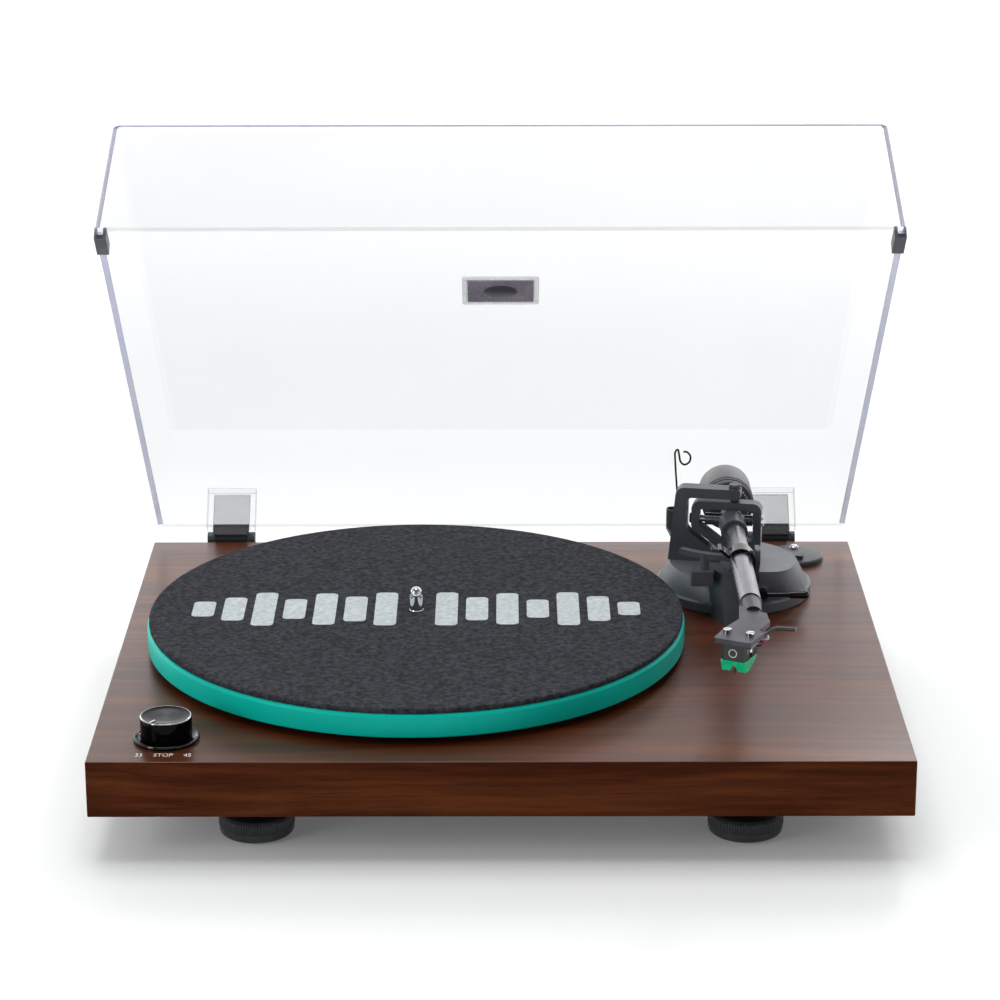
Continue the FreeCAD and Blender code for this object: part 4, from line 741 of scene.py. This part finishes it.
def lid():
    """The lid as one closed shell: outlines that climb the outside, round the fold and run in over the top, and
    the same again inside, joined by the flat cut rim. Each face gets the slot of the acrylic seen there."""
    ease = np.linspace(0, math.pi / 2, 5)
    outer = [lid_loop(height, 0, LID_CORNER) for height in (0, 30, LID_H - LID_FOLD_R)]
    folded = len(outer) - 1
    outer += [lid_loop(LID_H - LID_FOLD_R + LID_FOLD_R * math.sin(a), LID_FOLD_R * (1 - math.cos(a)),
                       LID_CORNER) for a in ease[1:]]
    outer += [lid_loop(LID_H, inset, LID_CORNER) for inset in (60, 150)]
    under = LID_H - LID_WALL
    inner = [lid_loop(height, LID_WALL, 1.0) for height in (0, 30, under - 1)]
    inner += [lid_loop(under - 1 + math.sin(a), LID_WALL + 1 - math.cos(a), 1.0) for a in ease[1:]]
    inner += [lid_loop(under, inset, 1.0) for inset in (60, 150)]
    loops = outer[::-1] + inner
    around = len(outer[0])
    points = np.vstack(loops)
    quads = grid(len(loops), around, close_columns=True)
    faces = [tuple(row) for row in quads.tolist()]
    rim_row = len(outer) - 1
    row = np.repeat(np.arange(len(loops) - 1), around)
    column = np.tile(np.arange(around), len(loops) - 1)
    centre = points[quads].mean(axis=1)
    high, back = centre[:, 2] - LID_BOTTOM, centre[:, 1] - LID_BACK
    outside = row < rim_row
    on_fold = (row >= rim_row - folded - 4) & (row < rim_row - folded)
    on_corner = (column % LID_CORNER_STEPS < LID_CORNER_STEPS - 1) & (high < LID_H - 2.0)
    slots = np.where(high > LID_H - LID_WALL - 0.2, 1, 0)
    slots[outside & (back < 12.0 - LID_L) & (on_fold | on_corner)] = 2
    slots[row == rim_row] = 3
    slots[(row == rim_row) & (back < LID_WALL - LID_L)] = 4
    slots[(row == rim_row) & (back > -LID_WALL - 0.5)] = 5
    total = len(loops)
    faces.append(tuple(range(around)))
    faces.append(tuple(range((total - 1) * around, total * around))[::-1])
    return opened(points), faces, np.r_[slots, 1, 1]


points, faces, lid_slots = lid()
piece("lid_finished", points, faces, [CLEAR, PANEL, FOLD, RIM, LIP, SEAM], "lid", ["lid_shell"],
      face_slots=lid_slots)

# ---- badge on the lid: a clear bezel, a smoked plate and a plain dark oval ----
BADGE_Z = LID_BOTTOM + LID_H - LID_WALL
finished("lid_badge", LIP, 30.0, 0.3, POCKET_EDGE)
points, faces = rounded_slab(-19.0, 19.0, 159.0, 182.0, BADGE_Z - 1.5, BADGE_Z - 0.9, 1.0)
piece("badge_plate", opened(points), faces, [SMOKE], "lid", sharp=60)
OVAL_PROFILE = [(0, BADGE_Z - 1.9), (6.0, BADGE_Z - 1.9), (6.4, BADGE_Z - 1.7), (6.4, BADGE_Z - 1.4),
                (0, BADGE_Z - 1.4)]
OVAL_STRETCH = 1.5
points, faces, _ = turned(OVAL_PROFILE, (0.0, 170.5), 64)
points[:, 0] *= OVAL_STRETCH
piece("badge_oval", opened(points), faces, [MOULDED], "lid")

# ---- tonearm details ----
WEIGHT_PROFILE = [(3.56, 30.6), (14.3, 30.6), (15.5, 31.6), (15.5, 34.6), (15.1, 34.9), (15.1, 35.5),
                  (15.5, 35.8), (15.5, 61.2), (14.7, 62.0), (9.5, 62.0), (9.0, 60.6), (3.56, 60.6),
                  (3.56, 30.6)]


def lip_knurl(angle, profile):
    """Fine straight knurling cut 0.35 mm into the counterweight's front lip, 72 teeth round."""
    band = (profile[:, 1:2] > 31.5) & (profile[:, 1:2] < 34.7) & (profile[:, :1] > 15.2)
    return band * -0.175 * (1 - np.clip(np.cos(angle * 72) * 1.6, -1, 1))


points, faces, _ = turned(eased(WEIGHT_PROFILE, 0.3), (0, 0), 432, lip_knurl)
lip_slots = np.where((points[faces][:, :, 2].mean(1) < 35.0), 1, 0)
points = points[:, [0, 2, 1]] + [ARM_SIDE, 0, 0]
piece("counterweight_finished", on_arm(points), faces, [ENAMEL, ANODISED], "weight",
      ["counterweight"], face_slots=lip_slots)
points, faces, _ = turned(eased([(0, 5.08), (1.9, 5.08), (2.85, 4.2), (2.85, 3.3)], 0.3), (177.6, 323.5), 48)
piece("cover_screw", points, faces, [CHROME], "root")

# tick marks round the tracking-force dial, on its cone
TICKS, TICKS_TO_A_LONG_ONE = 40, 5
tick_parts = []
for k in range(TICKS):
    length = 1.9 if k % TICKS_TO_A_LONG_ONE == 0 else 1.1
    tick, tick_faces = box_points((-0.16, 0, 0), (0.16, length, 0.06))
    # outward along the cone's slope, from r 11.7 at y 25.5 to r 12.5 at y 27.2
    way = 2 * math.pi * k / TICKS
    radial = 11.75 + tick[:, 1] * 0.42 + tick[:, 2] * 0.9
    back = 25.55 + tick[:, 1] * 0.9 - tick[:, 2] * 0.42
    local = np.stack([ARM_SIDE + radial * math.sin(way) + tick[:, 0] * math.cos(way), back,
                      radial * math.cos(way) - tick[:, 0] * math.sin(way)], -1)
    tick_parts.append((on_arm(local), tick_faces))
points, faces = joined(tick_parts)
piece("dial_ticks", points, faces, [PAINT], "dial", sharp=20)

# the anti-skating wire, bent over a smooth crest into an open loop
WIRE = [(107.5, 288.0, 8.0), (106.0, 305.0, 34.5), (104.6, 321.5, 59.8), (104.9, 324.6, 64.0),
        (106.4, 325.5, 65.0), (107.2, 325.0, 62.0), (108.0, 324.4, 58.0), (110.3, 323.6, 56.3),
        (113.2, 323.4, 57.9), (113.9, 323.4, 61.4), (112.0, 323.7, 64.0), (109.6, 324.0, 64.3)]
points, faces = swept(curve_through(WIRE, 110), 0.62, 12)
piece("wire_finished", points, faces, [GLOSS], "root", ["antiskate_wire"])

# four fine leads from the cartridge's pins, in loose loops up to the neck
LEAD_ROUTES = {
    "white": [(-3.6, 9.0, -3.2), (0.5, 13.0, -3.6), (8.6, 13.8, -3.4), (10.2, 17.0, -3.0), (3.0, 25.5, -1.8)],
    "red": [(3.6, 9.0, -3.2), (5.6, 11.4, -3.6), (9.6, 12.2, -4.2), (8.6, 17.0, -3.4), (4.2, 25.0, -2.0)],
    "blue": [(-3.6, 9.0, -6.8), (0.0, 12.4, -7.4), (7.8, 11.8, -6.2), (7.4, 17.0, -4.6), (1.6, 26.0, -2.8)],
    "green": [(3.6, 9.0, -6.8), (3.8, 13.0, -7.4), (5.6, 17.0, -5.2), (4.8, 21.0, -3.4), (3.4, 25.5, -3.0)],
}
for place_in_row, (lead_colour, route) in enumerate(LEAD_ROUTES.items()):
    points, faces = swept(curve_through(route, 32), 0.55)
    stands_for = ["cartridge_leads"] if place_in_row == 0 else ()
    piece("lead_" + lead_colour, on_head(points), faces, [LEADS[lead_colour]], "arm", stands_for)

# a plain moulded ring on the cartridge's nose
ring_angle = np.linspace(0, 2 * math.pi, 33)
ring_path = np.stack([2.1 * np.cos(ring_angle), np.full(33, -8.25), -5.4 + 2.1 * np.sin(ring_angle)], -1)
points, faces = swept(ring_path, 0.22, 8)
piece("cartridge_ring", on_head(points), faces, [PAINT], "arm")

# ---- floor, light and camera ----
floor_mesh = bpy.data.meshes.new("floor")
SWEEP = 6.0
floor_mesh.from_pydata([(-SWEEP, -SWEEP, 0), (SWEEP, -SWEEP, 0), (SWEEP, SWEEP, 0), (-SWEEP, SWEEP, 0)], [],
                       [(0, 1, 2, 3)])
floor = bpy.data.objects.new("floor", floor_mesh)
floor.location.z = float(DECK[2] + FLOOR_Z / MM)
bpy.context.scene.collection.objects.link(floor)


def paper():
    """Matt white background paper. It is toned down behind the object, where the rear bank would burn it out,
    and glows a little far away, where no softbox reaches, so that it stays white to its edge."""
    material, tree, shader, where = blank("white_paper")
    spot = add(tree, "ShaderNodeSeparateXYZ", {"Vector": where})
    behind = add(tree, "ShaderNodeMapRange", {"Value": spot.outputs["Y"], "From Min": 0.15, "From Max": 0.5})
    tone = add(tree, "ShaderNodeMixRGB", {"Fac": behind.outputs["Result"], "Color1": ink("#f3f5f5"),
                                          "Color2": ink("#dddfe0")})
    away = add(tree, "ShaderNodeVectorMath", {0: where}, operation="LENGTH")
    glow = add(tree, "ShaderNodeMapRange", {"Value": away.outputs["Value"], "From Min": 0.8, "From Max": 1.8,
                                            "To Min": 0.08, "To Max": 0.36})
    tree.links.new(tone.outputs["Color"], shader.inputs["Base Color"])
    tree.links.new(glow.outputs["Result"], shader.inputs["Emission Strength"])
    shader.inputs["Emission Color"].default_value = (1.0, 1.0, 1.0, 1.0)
    shader.inputs["Roughness"].default_value = 0.85
    shader.inputs["Specular IOR Level"].default_value = 0.1
    return material


floor_mesh.materials.append(paper())
floor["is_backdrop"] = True

world = bpy.data.worlds.new("white_tent")
bpy.context.scene.world = world
world.use_nodes = True
sky = world.node_tree
sky.nodes.clear()
way = add(sky, "ShaderNodeTexCoord").outputs["Generated"]
parts = add(sky, "ShaderNodeSeparateXYZ", {"Vector": way})
# the tent is bright behind and above the object, and dimmer on the camera's side
fall = add(sky, "ShaderNodeMapRange", {"Value": parts.outputs["Y"], "From Min": -0.7, "From Max": 0.8,
                                       "To Min": 0.14, "To Max": 1.0})
# and brightest low down behind it
low = add(sky, "ShaderNodeMapRange", {"Value": parts.outputs["Z"], "From Min": 0.1, "From Max": 0.55,
                                      "To Min": 2.0, "To Max": 0.8})
level = add(sky, "ShaderNodeMath", {0: fall.outputs["Result"], 1: low.outputs["Result"]},
            operation="MULTIPLY")
tent = add(sky, "ShaderNodeBackground", {"Color": (1.0, 1.0, 1.0, 1.0), "Strength": level.outputs["Value"]})
backdrop = add(sky, "ShaderNodeBackground", {"Color": (1.0, 1.0, 1.0, 1.0), "Strength": 1.0})
seen = add(sky, "ShaderNodeLightPath").outputs["Is Camera Ray"]
both = add(sky, "ShaderNodeMixShader", {0: seen, 1: tent.outputs["Background"],
                                        2: backdrop.outputs["Background"]})
add(sky, "ShaderNodeOutputWorld", {"Surface": both.outputs["Shader"]})


def softbox(name, at, aim, width, depth, power):
    """A rectangular soft light, in row metres, aimed at a point."""
    data = bpy.data.lights.new(name, "AREA")
    data.shape = "RECTANGLE"
    data.size, data.size_y, data.energy = width, depth, power
    lamp = bpy.data.objects.new(name, data)
    lamp.location = at
    lamp.rotation_euler = (Vector(aim) - Vector(at)).to_track_quat("-Z", "Y").to_euler()
    bpy.context.scene.collection.objects.link(lamp)
    return lamp


softbox("rear_bank", (0.0, 2.2, 1.5), (0, 0, 0), 3.0, 1.4, 20).visible_glossy = False
softbox("overhead_bank", (-0.2, 0.0, 2.2), (0, 0, 0), 1.6, 1.2, 20)
softbox("left_strip", (-1.3, -1.0, 0.6), (-0.1, -0.1, 0.05), 0.4, 1.0, 9)
softbox("right_fill", (1.5, -1.6, 1.0), (0, 0, 0.05), 0.7, 1.2, 2)
softbox("back_strip", (0.7, 1.5, 1.5), (0, 0, 0), 0.2, 0.8, 9)

# the fitted camera: its place in deck mm, and its tilt, yaw and roll
CAMERA_AT = (1.38, -1503.2, 637.31)
FOCAL, FRAME, SENSOR = 3186.0, 1000.0, 36.0    # the first two in the same unit, the last in mm
TILT, YAW, ROLL = 0.318965, 0.0011022, -0.0018276
tilt_c, tilt_s = math.cos(TILT), math.sin(TILT)
right = Vector((math.cos(-YAW), -math.sin(-YAW), 0))
ahead = Vector((tilt_c * math.sin(-YAW), tilt_c * math.cos(-YAW), -tilt_s))
above = Vector((tilt_s * math.sin(-YAW), tilt_s * math.cos(-YAW), tilt_c))
roll_c, roll_s = math.cos(-ROLL), math.sin(-ROLL)
view_right = roll_c * right - roll_s * above
view_up = roll_s * right + roll_c * above
camera_data = bpy.data.cameras.new("camera")
camera_data.sensor_width = SENSOR
camera_data.lens = FOCAL * SENSOR / FRAME
camera_data.clip_end = 50.0
camera = bpy.data.objects.new("camera", camera_data)
turn = Matrix((view_right, view_up, -ahead)).transposed().to_4x4()
camera.matrix_world = Matrix.Translation(Vector(place([CAMERA_AT])[0])) @ turn
bpy.context.scene.collection.objects.link(camera)
bpy.context.scene.camera = camera
bpy.context.scene.view_settings.view_transform = "Standard"

low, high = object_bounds()
